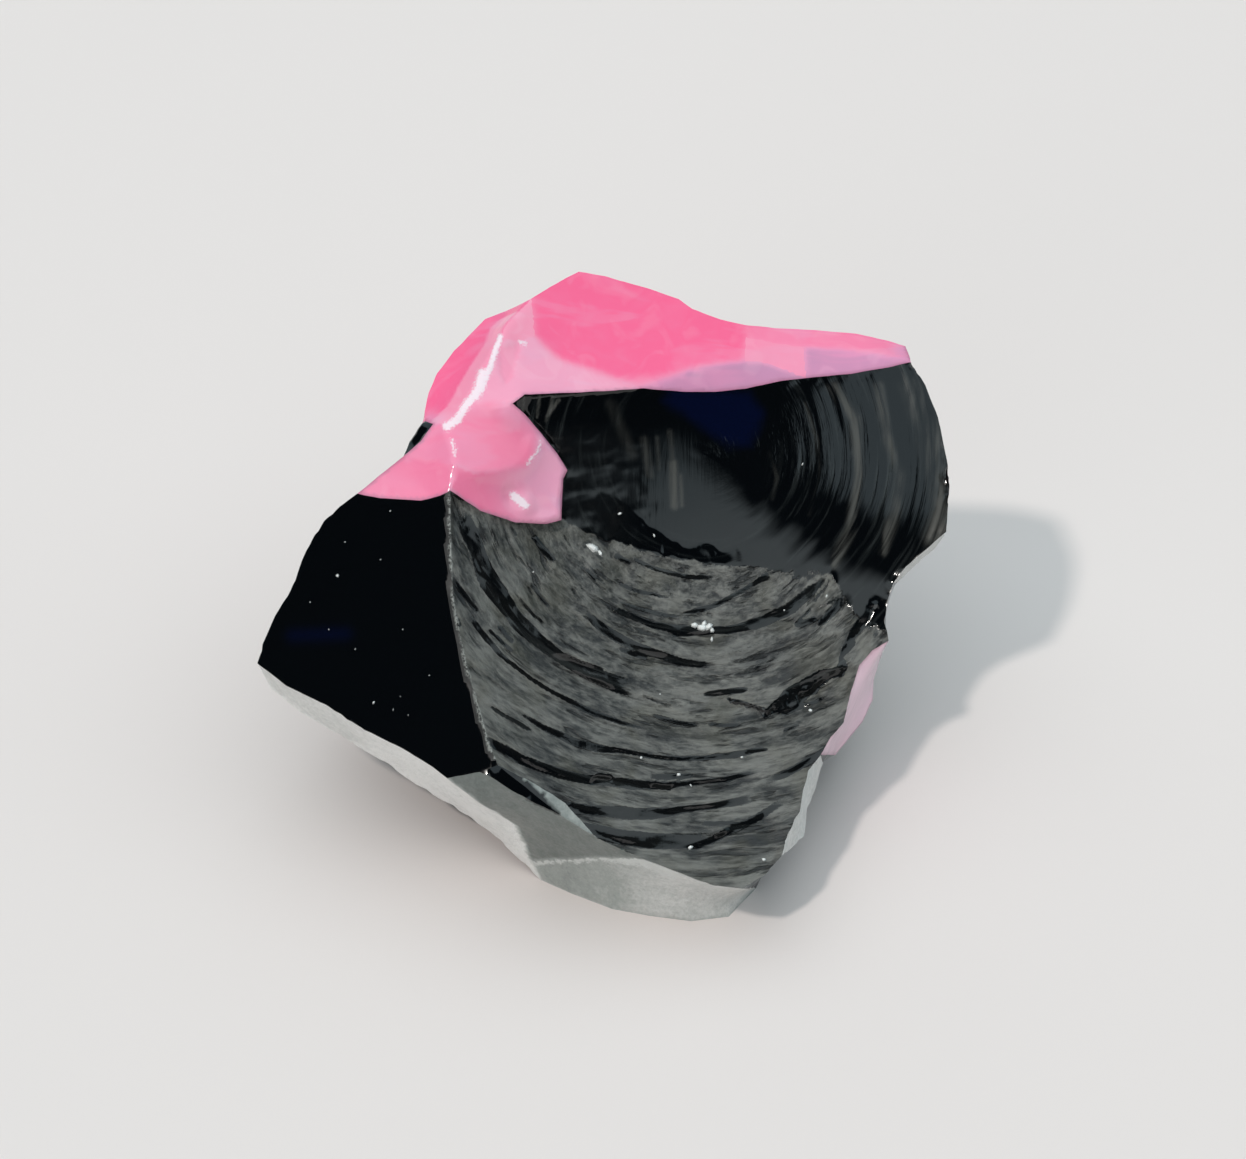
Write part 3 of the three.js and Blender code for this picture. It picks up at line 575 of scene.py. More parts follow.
def make_faces():
    """All points, triangles and per-point facts of the stone, in mm."""
    edges = Edges()
    made = []
    for name, around, glass, hollow, spacing in FACES:
        names = corners_around(around)
        numbers = []
        for a, b in zip(names, names[1:] + names[:1]):
            numbers += edges.along(a, b)
        made.append((name, glass, hollow, spacing, numbers))
    edge_points = np.array(edges.points)
    blocks = [edge_points]
    triangles = []
    face_of_triangle = []
    start = len(edge_points)
    facts = {"owner": [np.full(start, -1)], "grained": [np.zeros(start)], "wall_shade_and_blur": [np.zeros(start)]}
    for index, (name, glass, hollow, spacing, numbers) in enumerate(made):
        loop = edge_points[numbers]
        middle = loop.mean(axis=0)
        normal = unit(np.cross(loop, np.roll(loop, -1, axis=0)).sum(axis=0))
        across = unit(np.cross((0, 1, 0) if abs(normal[2]) > 0.9 else (0, 0, 1), normal))
        up = np.cross(normal, across)
        offset = loop - middle
        flat = np.column_stack((offset @ across, offset @ up))
        lift = offset @ normal - hollow * (flat ** 2).sum(axis=1) / 2
        tilt = np.linalg.lstsq(np.column_stack((np.ones(len(flat)), flat)), lift, rcond=None)[0]
        misfit = lift - tilt[0] - flat @ tilt[1:]
        row = spacing * math.sqrt(3) / 2
        low, high = flat.min(axis=0), flat.max(axis=0)
        vs = np.arange(low[1] + row / 3, high[1], row)
        us = np.arange(low[0] + spacing / 3, high[0], spacing)
        grid_u, grid_v = np.meshgrid(us, vs)
        grid_u = grid_u + (np.arange(len(vs)) % 2)[:, None] * spacing / 2
        inner = np.column_stack((grid_u.ravel(), grid_v.ravel()))
        inner = inner[in_chunks(lambda p: inside_loop(p, flat), inner)]
        ends = np.roll(flat, -1, axis=0)
        clear = in_chunks(lambda p: distance_to_path(p, flat, ends), inner) if len(inner) else np.zeros(0)
        inner, clear = inner[clear > 0.6 * spacing], clear[clear > 0.6 * spacing]
        if len(inner):
            w = tilt[0] + inner @ tilt[1:] + hollow * (inner ** 2).sum(axis=1) / 2
            w += in_chunks(lambda p: spread_inward(p, flat, misfit), inner)
            solid = middle + inner[:, :1] * across + inner[:, 1:] * up + w[:, None] * normal
            grained = np.zeros(len(inner))
            wall_shade_and_blur = np.zeros(len(inner))
            if name == "front":
                slope = tilt[1:] + hollow * inner + np.array((WALLS_FACE @ across, WALLS_FACE @ up)) / (WALLS_FACE @ normal)
                turn = slope[:, :1] * across + slope[:, 1:] * up
                height, grained, wall_shade_and_blur = bowl_relief(*seen_place(solid), turn)
            else:
                height = plain_relief(name, solid, clear)
            solid = solid + (height * smooth(0, FADE, clear))[:, None] * normal
            blocks.append(solid)
            facts["owner"].append(np.full(len(inner), index))
            facts["grained"].append(grained)
            facts["wall_shade_and_blur"].append(wall_shade_and_blur)
        every = [Vector(p) for p in flat] + [Vector(p) for p in inner]
        count = len(flat)
        _, _, faces, origins, _, _ = delaunay_2d_cdt(every, [], [list(range(count))], 1, 1e-7)
        to_global = [numbers[i] if i < count else start + i - count for i in range(len(every))]
        for face in faces:
            a, b, c = (to_global[origins[i][0]] for i in face)
            triangles.append((a, b, c))
            face_of_triangle.append(index)
        start += len(inner)
    points = np.concatenate(blocks)
    facts = {key: np.concatenate(value) for key, value in facts.items()}
    return edges, points, np.array(triangles), np.array(face_of_triangle), facts


def outward(points, triangles):
    """Point normals, weighted by triangle size."""
    a, b, c = (points[triangles[:, i]] for i in range(3))
    facing = np.cross(b - a, c - a)
    normals = np.zeros_like(points)
    for i in range(3):
        np.add.at(normals, triangles[:, i], facing)
    return normals / np.maximum(np.linalg.norm(normals, axis=1, keepdims=True), 1e-12)


def relax(values, triangles, weight, rounds):
    """Move each point's values towards its neighbours' mean, as far as weight allows."""
    pairs = np.concatenate((triangles[:, (0, 1)], triangles[:, (1, 2)], triangles[:, (2, 0)]))
    pairs = np.concatenate((pairs, pairs[:, ::-1]))
    count = np.maximum(np.bincount(pairs[:, 0], minlength=len(values)), 1)
    flat = values.reshape(len(values), -1)
    share = weight.reshape(-1, 1)
    for _ in range(rounds):
        mean = np.stack([np.bincount(pairs[:, 0], flat[pairs[:, 1], i], len(values)) for i in range(flat.shape[1])], 1)
        flat = flat + share * (mean / count[:, None] - flat)
    return flat.reshape(values.shape)


def edge_distance(edges, points, test):
    """Distance from each point to the nearest edge whose two faces pass the test."""
    pairs = [key for key, sides in edges.faces.items() if test(*sides)]
    starts = np.array([CORNERS[a] for a, b in pairs])
    ends = np.array([CORNERS[b] for a, b in pairs])
    return in_chunks(lambda p: distance_to_path(p, starts, ends), points, 2000)


def path_distance(points, *names):
    path = np.array([CORNERS[name] for name in names])
    return in_chunks(lambda p: distance_to_path(p, path[:-1], path[1:]), points, 2000)


def is_ridge(one, other):
    """Broken ridges show between two faces unless both are pink or one is the base."""
    return "base" not in (one[0], other[0]) and not (one[1] == "pink" and other[1] == "pink")


PINK_BACKS = ("back_left_mid", "back_top_left", "back_top_right")


def is_pink_border(one, other):
    first, second = (side[1] == "pink" or side[0] in PINK_BACKS for side in (one, other))
    return first != second


def is_pink_fold(one, other):
    return one[1] == "pink" and other[1] == "pink"


# How each face is toned. Pink: from 0, lavender, to 1, raspberry. Undercut faces, a painted
# reflection of the floor: from dark grey to near white. Then how milky it is.
TONES = {
    "shoulder": (0.80, 0.12), "left_crest": (0.98, 0.0), "crest_tip": (1.0, 0.36),
    "crest_front": (0.64, 0.30), "top": (1.0, 0.0), "top_mid": (0.08, 0.0), "star": (0.82, 0.18),
    "top_right": (0.22, 0.0), "top_strip": (0.80, 0.05), "tongue_deep": (0.86, 0.14),
    "tongue_lip": (0.60, 0.26), "pink_side": (0.55, 1.0), "left_under": (0.97, 0),
    "front_under_left": (1.0, 0), "front_under": (0.14, 0), "band": (0.42, 0), "foot": (0.66, 0),
    "notch": (0.85, 0), "right_foot": (0.85, 0),
}
TONE_EDGE = {"crest_front", "tongue_lip", "top_mid", "top_right", "star", "pink_side"}
CRISP = ("crest_tip", "star")     # facets whose colour ends sharply at their edges

# Pale marks on the pink glass: whitened, crushed ridges that are partly a painted highlight, and painted highlights:
# points along each, half width and strength.
BRUISES_AND_GLINTS = [
    ([(-12.3, 24.3), (-13.1, 21.8), (-14.1, 19.1), (-15.3, 18.0)], 0.34, 1.0),
    ([(-14.0, 20.6), (-14.7, 18.5)], 0.62, 0.95),
    ([(-15.3, 18.0), (-16.6, 16.0), (-17.6, 15.3)], 0.50, 1.0),
    ([(-17.1, 14.0), (-16.8, 12.5)], 0.28, 0.75),
    # Painted highlights: a crescent on the tongue's fold, then a sun glint low on the tongue.
    ([(-8.2, 13.8), (-8.6, 12.7), (-9.6, 11.5)], 0.26, 0.65),
    ([(-11.0, 8.4), (-10.3, 7.9), (-9.8, 7.5)], 0.45, 1.15),
    ([(-10.3, 23.8), (-9.8, 23.5)], 0.35, 0.7),
]

# White dust and splinters: across, up, size, length against width, and which way it points.
DUST = [
    (-2.9, 3.1, 0.95, 2.3, -0.5), (-2.2, 2.7, 0.50, 1.6, -0.9), (-3.2, 3.3, 0.40, 1.3, 0.3),
    (7.2, -4.7, 0.60, 1.4, 0.1), (7.9, -4.9, 0.75, 1.5, -0.1), (8.6, -4.6, 0.55, 1.3, 0.5), (8.0, -4.5, 0.4, 1.2, 1.2),
    (8.9, -5.2, 0.40, 1.5, -1.2), (8.8, -5.9, 0.45, 2.6, -1.6), (3.2, 4.4, 0.26, 2.0, -1.4), (-0.3, 6.6, 0.30, 1.6, 0.3),
    (18.7, -13.2, 0.36, 1.5, -0.9), (6.7, -26.9, 0.34, 1.1, 0.4), (1.7, -17.8, 0.24, 1.3, 1.0), (14.2, -27.9, 0.26, 1.1, 0.2),
    (5.7, -19.6, 0.24, 1.2, 0.0), (6.8, -20.6, 0.30, 3.0, -1.0), (11.8, -17.8, 0.20, 1.2, 0.4), (-9.0, 0.8, 0.13, 1.4, 0.9),
    (3.6, -11.5, 0.13, 1.2, 0.0), (20.4, -1.7, 0.22, 1.8, 1.3), (16.2, -3.1, 0.13, 1.2, 0.5), (18.0, 11.5, 0.22, 2.4, 1.2),
    (-28.5, 0.2, 0.26, 1.5, 0.2), (-25.2, -12.4, 0.20, 1.2, 0.7), (-27.7, 3.6, 0.09, 1.3, 0.0), (-24.2, 2.2, 0.09, 1.2, 0.5),
    (-31.2, -2.0, 0.09, 1.4, 1.0), (-22.0, -5.2, 0.09, 1.1, 0.2), (-26.6, -7.0, 0.09, 1.3, 0.8), (-19.4, -9.8, 0.09, 1.2, 0.4),
    (-23.1, 6.9, 0.10, 1.5, 0.6), (-29.6, -5.1, 0.09, 1.2, 1.4), (-23.0, -12.9, 0.16, 4.0, 1.4), (-22.2, -11.8, 0.10, 4.0, 1.5),
    (-21.3, -13.5, 0.10, 3.0, 1.3),
]
# Painted reflection: a dark navy patch on the bowl where the glass shows something blue. Below it, a navy smear on the
# left face, in the same tint.
NAVY_REFLECTION = [(3.9, 17.9), (5.0, 19.3), (12.8, 18.7), (14.0, 16.6), (12.8, 13.5), (10.5, 13.3), (7.4, 15.5)]
SMEAR = [(-33.0, -5.6), (-27.8, -5.4)]

# Faint milky streaks in the smooth part of the bowl, painted lighter as a painted sheen of the light they catch: two
# ends, half width and strength.
SHEEN_STREAKS = [
    ((2.1, 14.0), (2.7, 10.4), 0.50, 0.5), ((3.4, 14.2), (3.6, 11.0), 0.30, 0.35), ((4.7, 14.8), (5.0, 11.0), 0.35, 0.5),
    ((5.0, 11.6), (5.2, 7.4), 0.50, 0.9), ((5.7, 10.4), (5.9, 7.4), 0.30, 0.6), ((-1.2, 17.5), (0.9, 12.5), 0.8, 0.30), ((-8.3, 18.5), (-8.6, 16.2), 0.16, 0.9),
    ((-9.9, 18.4), (-10.0, 16.8), 0.18, 0.7), ((-7.0, 18.4), (-7.7, 15.8), 0.14, 0.8), ((-6.4, 18.0), (-7.6, 16.3), 0.18, 1.0),
]
# Long arcs on the right: milky, and painted lighter as a painted sheen.
SHEEN_SWEEPS = [                        # long milky arcs on the right: points, half width, strength
    ([(21.0, 19.3), (23.2, 16.0), (23.7, 10.5), (22.8, 5.1), (21.0, 1.5)], 0.60, 0.8),
    ([(25.5, 19.3), (26.2, 15.2), (27.6, 10.5), (27.3, 6.9), (25.9, 2.8)], 0.60, 0.8),
    ([(28.9, 19.3), (31.2, 13.0), (32.2, 7.0), (31.3, 4.2)], 1.20, 0.85),
    ([(18.2, 17.6), (19.4, 14.0), (19.8, 10.0), (18.6, 6.5)], 0.30, 0.40),
    ([(14.6, 12.6), (15.4, 10.2), (14.9, 8.0)], 0.30, 0.35),
]
SLIVER = [(-13.5, -19.5), (-12.7, -18.0), (-11.6, -19.0), (-9.5, -20.1), (-7.8, -21.6), (-6.4, -23.5), (-8.2, -22.8)]


def chip_ridges(edges, points, normals, seed):
    """Small scalloped chips along the broken ridges, as a move for each point."""
    draw = np.random.default_rng(seed)
    centres, sizes = [], []
    for (a, b), sides in edges.faces.items():
        if not is_ridge(*sides) or "pink" in (sides[0][1], sides[1][1]):
            continue
        length = np.linalg.norm(CORNERS[a] - CORNERS[b])
        sharp = {sides[0][0], sides[1][0]} == {"front", "left"}
        for _ in range(draw.poisson(length * (0.6 if sharp else 0.3))):
            centres.append(CORNERS[a] + (CORNERS[b] - CORNERS[a]) * draw.random())
            sizes.append(draw.uniform(0.45, 1.0) ** 1.5 * (0.7 if sharp else 1.0))
    move = np.zeros(len(points))
    for centre, size in zip(centres, sizes):
        near = np.linalg.norm(points - centre, axis=1)
        move = np.maximum(move, 0.16 * size * np.clip(1 - (near / size) ** 2, 0, 1))
    return -move[:, None] * normals


def roughen(edges, points, triangles):
    """Give folds their roundness and ridges their broken line."""
    fold = edge_distance(edges, points, is_pink_fold)
    ridge = edge_distance(edges, points, is_ridge)
    soften = 0.5 * (1 - smooth(0.35, 0.9, fold)) * smooth(0.15, 0.6, ridge)
    points = relax(points, triangles, soften, 4)
    near = 1 - smooth(0.2, 1.3, ridge)
    wobble = np.stack([layered_noise(points / 1.3, 61 + i, 2) for i in range(3)], 1)
    points = points + 0.055 * near[:, None] * wobble
    points = points + chip_ridges(edges, points, outward(points, triangles), SEED)
    points[:, 2] = np.maximum(points[:, 2], 0)
    return points, ridge


def raise_tongue(points, owner, names):
    """The pink tongue lies on the bowl as a thin layer, proudest along its right edge."""
    tongue = np.isin(owner, [i for i, n in enumerate(names) if n in ("tongue_deep", "tongue_lip")])
    edge = path_distance(points, *corners_around("tongue1-9"))
    right = path_distance(points, *corners_around("tongue3-9"))
    lift = 0.12 * smooth(0.1, 0.5, edge) * np.exp(-edge / 1.5) + 0.30 * smooth(0.1, 0.45, right) * np.exp(-right / 2.2)
    bowl = owner == 0
    sink = (0.12 * np.exp(-(right / 0.5) ** 2) + 0.95 * np.exp(-right / 3.5)) * bowl
    return np.where(tongue, lift, 0) - sink


def scar_tongue(points, owner, names):
    """A small flat scar low on the tongue, turned to the light."""
    lip = owner == names.index("tongue_lip")
    across, up = seen_place(points)
    x, y = across - TONGUE_GLINT[0], up - TONGUE_GLINT[1]
    along, aside = (0.85 * x - 0.53 * y) / 2.1, (0.53 * x + 0.85 * y) / 1.25
    share = (1 - smooth(0.62, 1.12, np.hypot(along, aside))) * lip
    nearest = points[np.argmin(x * x + y * y + 100 * ~lip)]
    sight = np.array((0, -math.cos(SLOPE), math.sin(SLOPE)))
    drop = ((nearest - points) @ HALF_WAY) / (sight @ HALF_WAY)
    return points + (share * np.clip(0.35 * drop, -0.25, 0.25))[:, None] * sight


def add_flakes(points, triangles, face_of, owner, names):
    """White dust and splinters that lie on the faces, as small crumpled crumbs."""
    draw = np.random.default_rng(SEED + 1)
    across, up = seen_place(points)
    seen = np.isin(owner, (names.index("front"), names.index("left")))
    normals = outward(points, triangles)
    shape = np.array([(1, 0, 0), (0.3, 0.9, 0), (-0.8, 0.6, 0), (-0.9, -0.5, 0), (0.2, -1, 0), (0, 0, 1), (0, 0, -0.6)], float)
    sides = [(i, (i + 1) % 5, 5) for i in range(5)] + [((i + 1) % 5, i, 6) for i in range(5)]
    new_points, new_triangles, start = [], [], len(points)
    for x, y, size, slimness, turn in DUST:
        near = int(np.argmin((across - x) ** 2 + (up - y) ** 2 + 1e6 * ~seen))
        normal = normals[near]
        side = unit(np.cross(np.cross(normal, (1, 0, 0)), normal))
        other = np.cross(normal, side)
        a, b = side * math.cos(turn) + other * math.sin(turn), other * math.cos(turn) - side * math.sin(turn)
        crumb = shape * draw.uniform(0.6, 1.15, (7, 1)) * size
        low = min(0.35, 0.5 * size)
        new_points.append(points[near] + crumb[:, :1] * a + crumb[:, 1:2] / slimness * b + shape[:, 2:] * low * normal)
        new_triangles += [(start + p, start + q, start + r) for p, q, r in sides]
        start += 7
    points = np.concatenate([points] + new_points)
    triangles = np.concatenate((triangles, np.array(new_triangles)))
    return points, triangles, np.concatenate((face_of, np.full(len(new_triangles), -1)))


def build_stone():
    edges, points, triangles, face_of, facts = make_faces()
    names = [face[0] for face in FACES]
    glass = np.array([face[2] for face in FACES])
    owner = facts["owner"]
    normals = outward(points, triangles)
    points = points + raise_tongue(points, owner, names)[:, None] * normals
    points = scar_tongue(points, owner, names)
    points, ridge = roughen(edges, points, triangles)
    count = len(points)

    tone, milk, hits = np.zeros(count), np.zeros(count), np.zeros(count)
    for index in np.flatnonzero(np.isin(glass, ("pink", "pale"))):
        chosen = triangles[face_of == index].ravel()
        np.add.at(tone, chosen, TONES[names[index]][0])
        np.add.at(milk, chosen, TONES[names[index]][1])
        np.add.at(hits, chosen, 1)
    tone /= np.maximum(hits, 1)
    milk /= np.maximum(hits, 1)
    pink_face = glass[face_of] == "pink"
    floor_reflection_face = glass[face_of] == "pale"
    pink_points = np.zeros(count)
    pink_points[triangles[pink_face].ravel()] = 1
    tone = relax(tone, triangles[pink_face], 0.5 * pink_points, 2)
    milk = relax(milk, triangles[pink_face], 0.5 * pink_points, 2)
    inner_band = path_distance(points, *corners_around("crest1-6")) + 0.3 * layered_noise(points / 2, 85)
    milk = np.where(owner == names.index("left_crest"), 0.32 * (1 - smooth(2.1, 2.5, inner_band)), milk)
    border = edge_distance(edges, points, is_pink_border)
    fade = np.zeros(count)
    inner_tone = ~np.isin(owner, [names.index(name) for name in TONE_EDGE])
    fade = np.where(inner_tone, 0.55 + 0.45 * smooth(0.0, 2.4, border), 1)
    tone = np.where(pink_points > 0, tone * fade, tone)

    across, up = seen_place(points)
    scar = in_chunks(lambda p: inside_loop(p, np.array(CREST_SCAR)), np.column_stack((across, up)))
    scar &= owner == names.index("crest_front")
    tone, milk = np.where(scar, 0.72, tone), np.where(scar, 0.24, milk)
    lip = owner == names.index("tongue_lip")
    rightward = smooth(-14.5, -7.5, across)
    tone, milk = np.where(lip, 0.78 - 0.34 * rightward, tone), np.where(lip, 0.10 + 0.22 * rightward, milk)
    reach, angle = polar(across, up)
    _, grained, wall_shade_and_blur = bowl_relief(across, up, np.zeros((count, 3)))
    flat = np.column_stack((across + 0.35 * flat_noise(across / 1.5, up / 1.5, 81), up + 0.35 * flat_noise(across / 1.5, up / 1.5, 82)))
    # The navy patch on the bowl is a painted reflection.
    loop = np.array(NAVY_REFLECTION)
    rim = in_chunks(lambda p: distance_to_path(p, loop, np.roll(loop, -1, axis=0)), flat)
    inside = in_chunks(lambda p: inside_loop(p, loop), flat)
    painted_navy = smooth(-0.8, 0.9, np.where(inside, rim, -rim))
    smear = 0.6 * np.exp(-(path_reach(across, up, SMEAR) / 0.7) ** 2)
    milky_sheen = np.zeros(count)
    for start, end, width, strength in SHEEN_STREAKS:
        milky_sheen = np.maximum(milky_sheen, strength * np.exp(-(path_reach(across, up, [start, end]) / width) ** 2))
    for path, width, strength in SHEEN_SWEEPS:
        patchy = smooth(-0.6, 0.3, flat_noise(across / 1.2, up / 5, 83))
        milky_sheen = np.maximum(milky_sheen, strength * patchy * np.exp(-(path_reach(across, up, path) / width) ** 2))
    milky_sheen *= 1 - grained
    bruise_and_glint = np.zeros(count)
    for path, width, strength in BRUISES_AND_GLINTS:
        away = path_reach(across + 0.12 * flat_noise(across / 0.6, up / 0.6, 84), up, path)
        bruise_and_glint = np.maximum(bruise_and_glint, strength * np.exp(-(away / width) ** 2))
    bruise_and_glint = np.minimum(bruise_and_glint, 1.3)

    sharp = path_distance(points, *corners_around("ridge1-7"))
    shelf = path_reach(across, up, [(-9.0, -28.2), (-7.4, -27.8), (-2.6, -27.6), (1.8, -28.1), (5.0, -29.4)])
    # Painted light: the foot turns lighter and more frosted towards its right, and the left underside lighter towards
    # its right, standing in for light falling there.
    frost_and_light = np.exp(-(shelf / 0.7) ** 2) + 0.25 * smooth(4.0, 9.0, across)
    milk = np.where(owner == names.index("foot"), np.minimum(frost_and_light, 1), milk)
    tone = np.where(owner == names.index("foot"), 0.50 + 0.32 * smooth(-6, 6, across), tone)
    tone = np.where(owner == names.index("left_under"), 0.88 + 0.12 * smooth(-29, -23, across), tone)
    tone = np.where(owner == names.index("shoulder"), 0.80 - 0.10 * smooth(-19, -25, across), tone)
    black_wedge = in_chunks(lambda p: inside_loop(p, np.array(SLIVER)), np.column_stack((across, up)))

    front = (face_of == names.index("front"))[:, None]
    left = (face_of == names.index("left"))[:, None]
    pink = pink_face[:, None]
    pink_mask = pink * np.ones((1, 3))
    back = {"back_left_mid": "brow1-6", "back_top_left": "skyline1-5 brow6-9", "back_top_right": "skyline5-12"}
    for name, path in back.items():
        rows = face_of == names.index(name)
        away = path_distance(points, *corners_around(path))
        here = 1 - smooth(7.5, 9.5, away + 2.2 * layered_noise(points / 6, 71))
        pink_mask[rows] = here[triangles[rows]]
        tone[triangles[rows].ravel()] = np.maximum(tone, 0.25 + 0.6 * here)[triangles[rows].ravel()]
    # The sharp ridge between the bowl and the left face is whitened: chips, partly a painted highlight where it
    # catches the light.
    edge = np.maximum(0.03 * np.exp(-ridge / 0.12), 0.85 * np.exp(-sharp / 0.13))
    edge = (edge * (1 - black_wedge))[triangles]
    edge = np.where(pink, np.exp(-border / 0.16)[triangles], edge)
    tones, milks = tone[triangles], milk[triangles]
    for name in CRISP:
        rows = face_of == names.index(name)
        tones[rows], milks[rows] = TONES[name]
    arc = angle[triangles]
    crosses = np.ptp(arc, axis=1) > math.pi
    arc = 22 * np.where(crosses[:, None] & (arc < 0), arc + 2 * math.pi, arc)
    whole = {
        "glass": (pink_mask, np.where(floor_reflection_face[:, None], 1.0 - black_wedge[triangles], 0), tones),
        "wear": (np.where(front, grained[triangles], 0), np.where(front, wall_shade_and_blur[triangles], 0), np.zeros((1, 3))),
        "marks": (edge, np.where(front, painted_navy[triangles], np.where(left, smear[triangles], 0)),
                  np.where(front, milky_sheen[triangles], np.where(pink, bruise_and_glint[triangles], 0))),
        "grain": (np.where(front, reach[triangles], 0), arc, milks),
    }
    shape = triangles.shape
    points, triangles, face_of = add_flakes(points, triangles, face_of, owner, names)
    extra = len(triangles) - shape[0]
    stone = {"points": points * MM, "triangles": triangles, "face_of": face_of, "pink_face": pink_face}
    for key, layers in whole.items():
        block = np.dstack([np.broadcast_to(layer, shape) for layer in layers]).astype(float)
        crumbs = np.zeros((extra, 3, 3))
        if key == "wear":
            crumbs[:, :, 2] = 1
        stone[key] = np.concatenate((block, crumbs))
    return stone


def mark_ridges(mesh, triangles, face_of):
    """Edges between two faces are sharp, unless both faces are pink."""
    pink = np.append([face[2] == "pink" for face in FACES], False)
    sides = np.sort(np.concatenate((triangles[:, (0, 1)], triangles[:, (1, 2)], triangles[:, (2, 0)])), axis=1)
    key = sides[:, 0] * 1000003 + sides[:, 1]
    face = np.tile(face_of, 3)
    order = np.argsort(key, kind="stable")
    key, face = key[order], face[order]
    pair = np.flatnonzero(key[:-1] == key[1:])
    ridge = (face[pair] != face[pair + 1]) & ~(pink[face[pair]] & pink[face[pair + 1]])
    ridge_keys = key[pair][ridge]
    ends = np.zeros(len(mesh.edges) * 2, int)
    mesh.edges.foreach_get("vertices", ends)
    ends = np.sort(ends.reshape(-1, 2), axis=1)
    sharp = mesh.attributes.new("sharp_edge", "BOOLEAN", "EDGE")
    sharp.data.foreach_set("value", np.isin(ends[:, 0] * 1000003 + ends[:, 1], ridge_keys))


def add_mesh(name, stone):
    mesh = bpy.data.meshes.new(name)
    points, triangles = stone["points"], stone["triangles"]
    mesh.from_pydata(points.tolist(), [], triangles.tolist())
    for key in ("glass", "wear", "marks", "grain"):
        attribute = mesh.attributes.new(key, "FLOAT_VECTOR", "CORNER")
        attribute.data.foreach_set("vector", stone[key].reshape(-1).astype(np.float32))
    mesh.shade_smooth()
    mark_ridges(mesh, triangles, stone["face_of"])
    piece = bpy.data.objects.new(name, mesh)
    bpy.context.scene.collection.objects.link(piece)
    return piece


class Graph:
    """Small helper that adds nodes and links to a material or world."""

    def __init__(self, tree):
        self.tree = tree
        tree.nodes.clear()

    def add(self, kind, settings=None, **inputs):
        node = self.tree.nodes.new(kind)
        for key, value in (settings or {}).items():
            setattr(node, key, value)
        for key, value in inputs.items():
            self.put(node.inputs[key.replace("_", " ")], value)
        return node

    def put(self, socket, value):
        if isinstance(value, bpy.types.NodeSocket):
            self.tree.links.new(value, socket)
        else:
            socket.default_value = value

    def math(self, kind, *values, clamp=False):
        node = self.tree.nodes.new("ShaderNodeMath")
        node.operation = kind
        node.use_clamp = clamp
        for socket, value in zip(node.inputs, values):
            self.put(socket, value)
        return node.outputs[0]

    def product(self, *values):
        total = values[0]
        for value in values[1:]:
            total = self.math("MULTIPLY", total, value)
        return total

    def between(self, value, low, high, to_low=0.0, to_high=1.0):
        node = self.tree.nodes.new("ShaderNodeMapRange")
        node.interpolation_type = "SMOOTHSTEP"
        for socket, number in zip(node.inputs[:5], (value, low, high, to_low, to_high)):
            self.put(socket, number)
        return node.outputs[0]

    def blend(self, share, first, second):
        node = self.tree.nodes.new("ShaderNodeMix")
        node.data_type = "FLOAT"
        for socket, value in zip(node.inputs[:1] + node.inputs[2:4], (share, first, second)):
            self.put(socket, value)
        return node.outputs[0]

    def colour(self, share, first, second):
        node = self.tree.nodes.new("ShaderNodeMix")
        node.data_type = "RGBA"
        for socket, value in zip((node.inputs[0], node.inputs[6], node.inputs[7]), (share, first, second)):
            self.put(socket, value if isinstance(value, (float, int, bpy.types.NodeSocket)) else (*value, 1))
        return node.outputs[2]

    def facts(self, name):
        attribute = self.add("ShaderNodeAttribute", {"attribute_name": name})
        return self.add("ShaderNodeSeparateXYZ", Vector=attribute.outputs["Vector"]).outputs

    def noise(self, place, scale, detail=3.0, roughness=0.5, distortion=0.0):
        node = self.add("ShaderNodeTexNoise", Vector=place, Scale=scale, Detail=detail,
                        Roughness=roughness, Distortion=distortion)
        return node.outputs[0]

    def ramp(self, share, stops):
        node = self.add("ShaderNodeValToRGB", Fac=share)
        elements = node.color_ramp.elements
        while len(elements) < len(stops):
            elements.new(0.5)
        for element, (at, tint) in zip(elements, stops):
            element.position = at
            element.color = (*tint, 1)
        return node.outputs[0]


PINKS = [
    (0.00, (0.60, 0.25, 0.43)), (0.25, (0.78, 0.27, 0.47)), (0.50, (0.90, 0.25, 0.43)),
    (0.76, (0.95, 0.19, 0.36)), (1.00, (0.98, 0.11, 0.28)),
]
# Tints of the undercut faces: a painted reflection of the floor.
FLOOR_REFLECTION_TINTS = [
    (0.00, (0.085, 0.105, 0.095)), (0.35, (0.22, 0.24, 0.23)), (0.60, (0.38, 0.40, 0.38)),
    (0.85, (0.66, 0.66, 0.64)), (1.00, (0.84, 0.83, 0.81)),
]


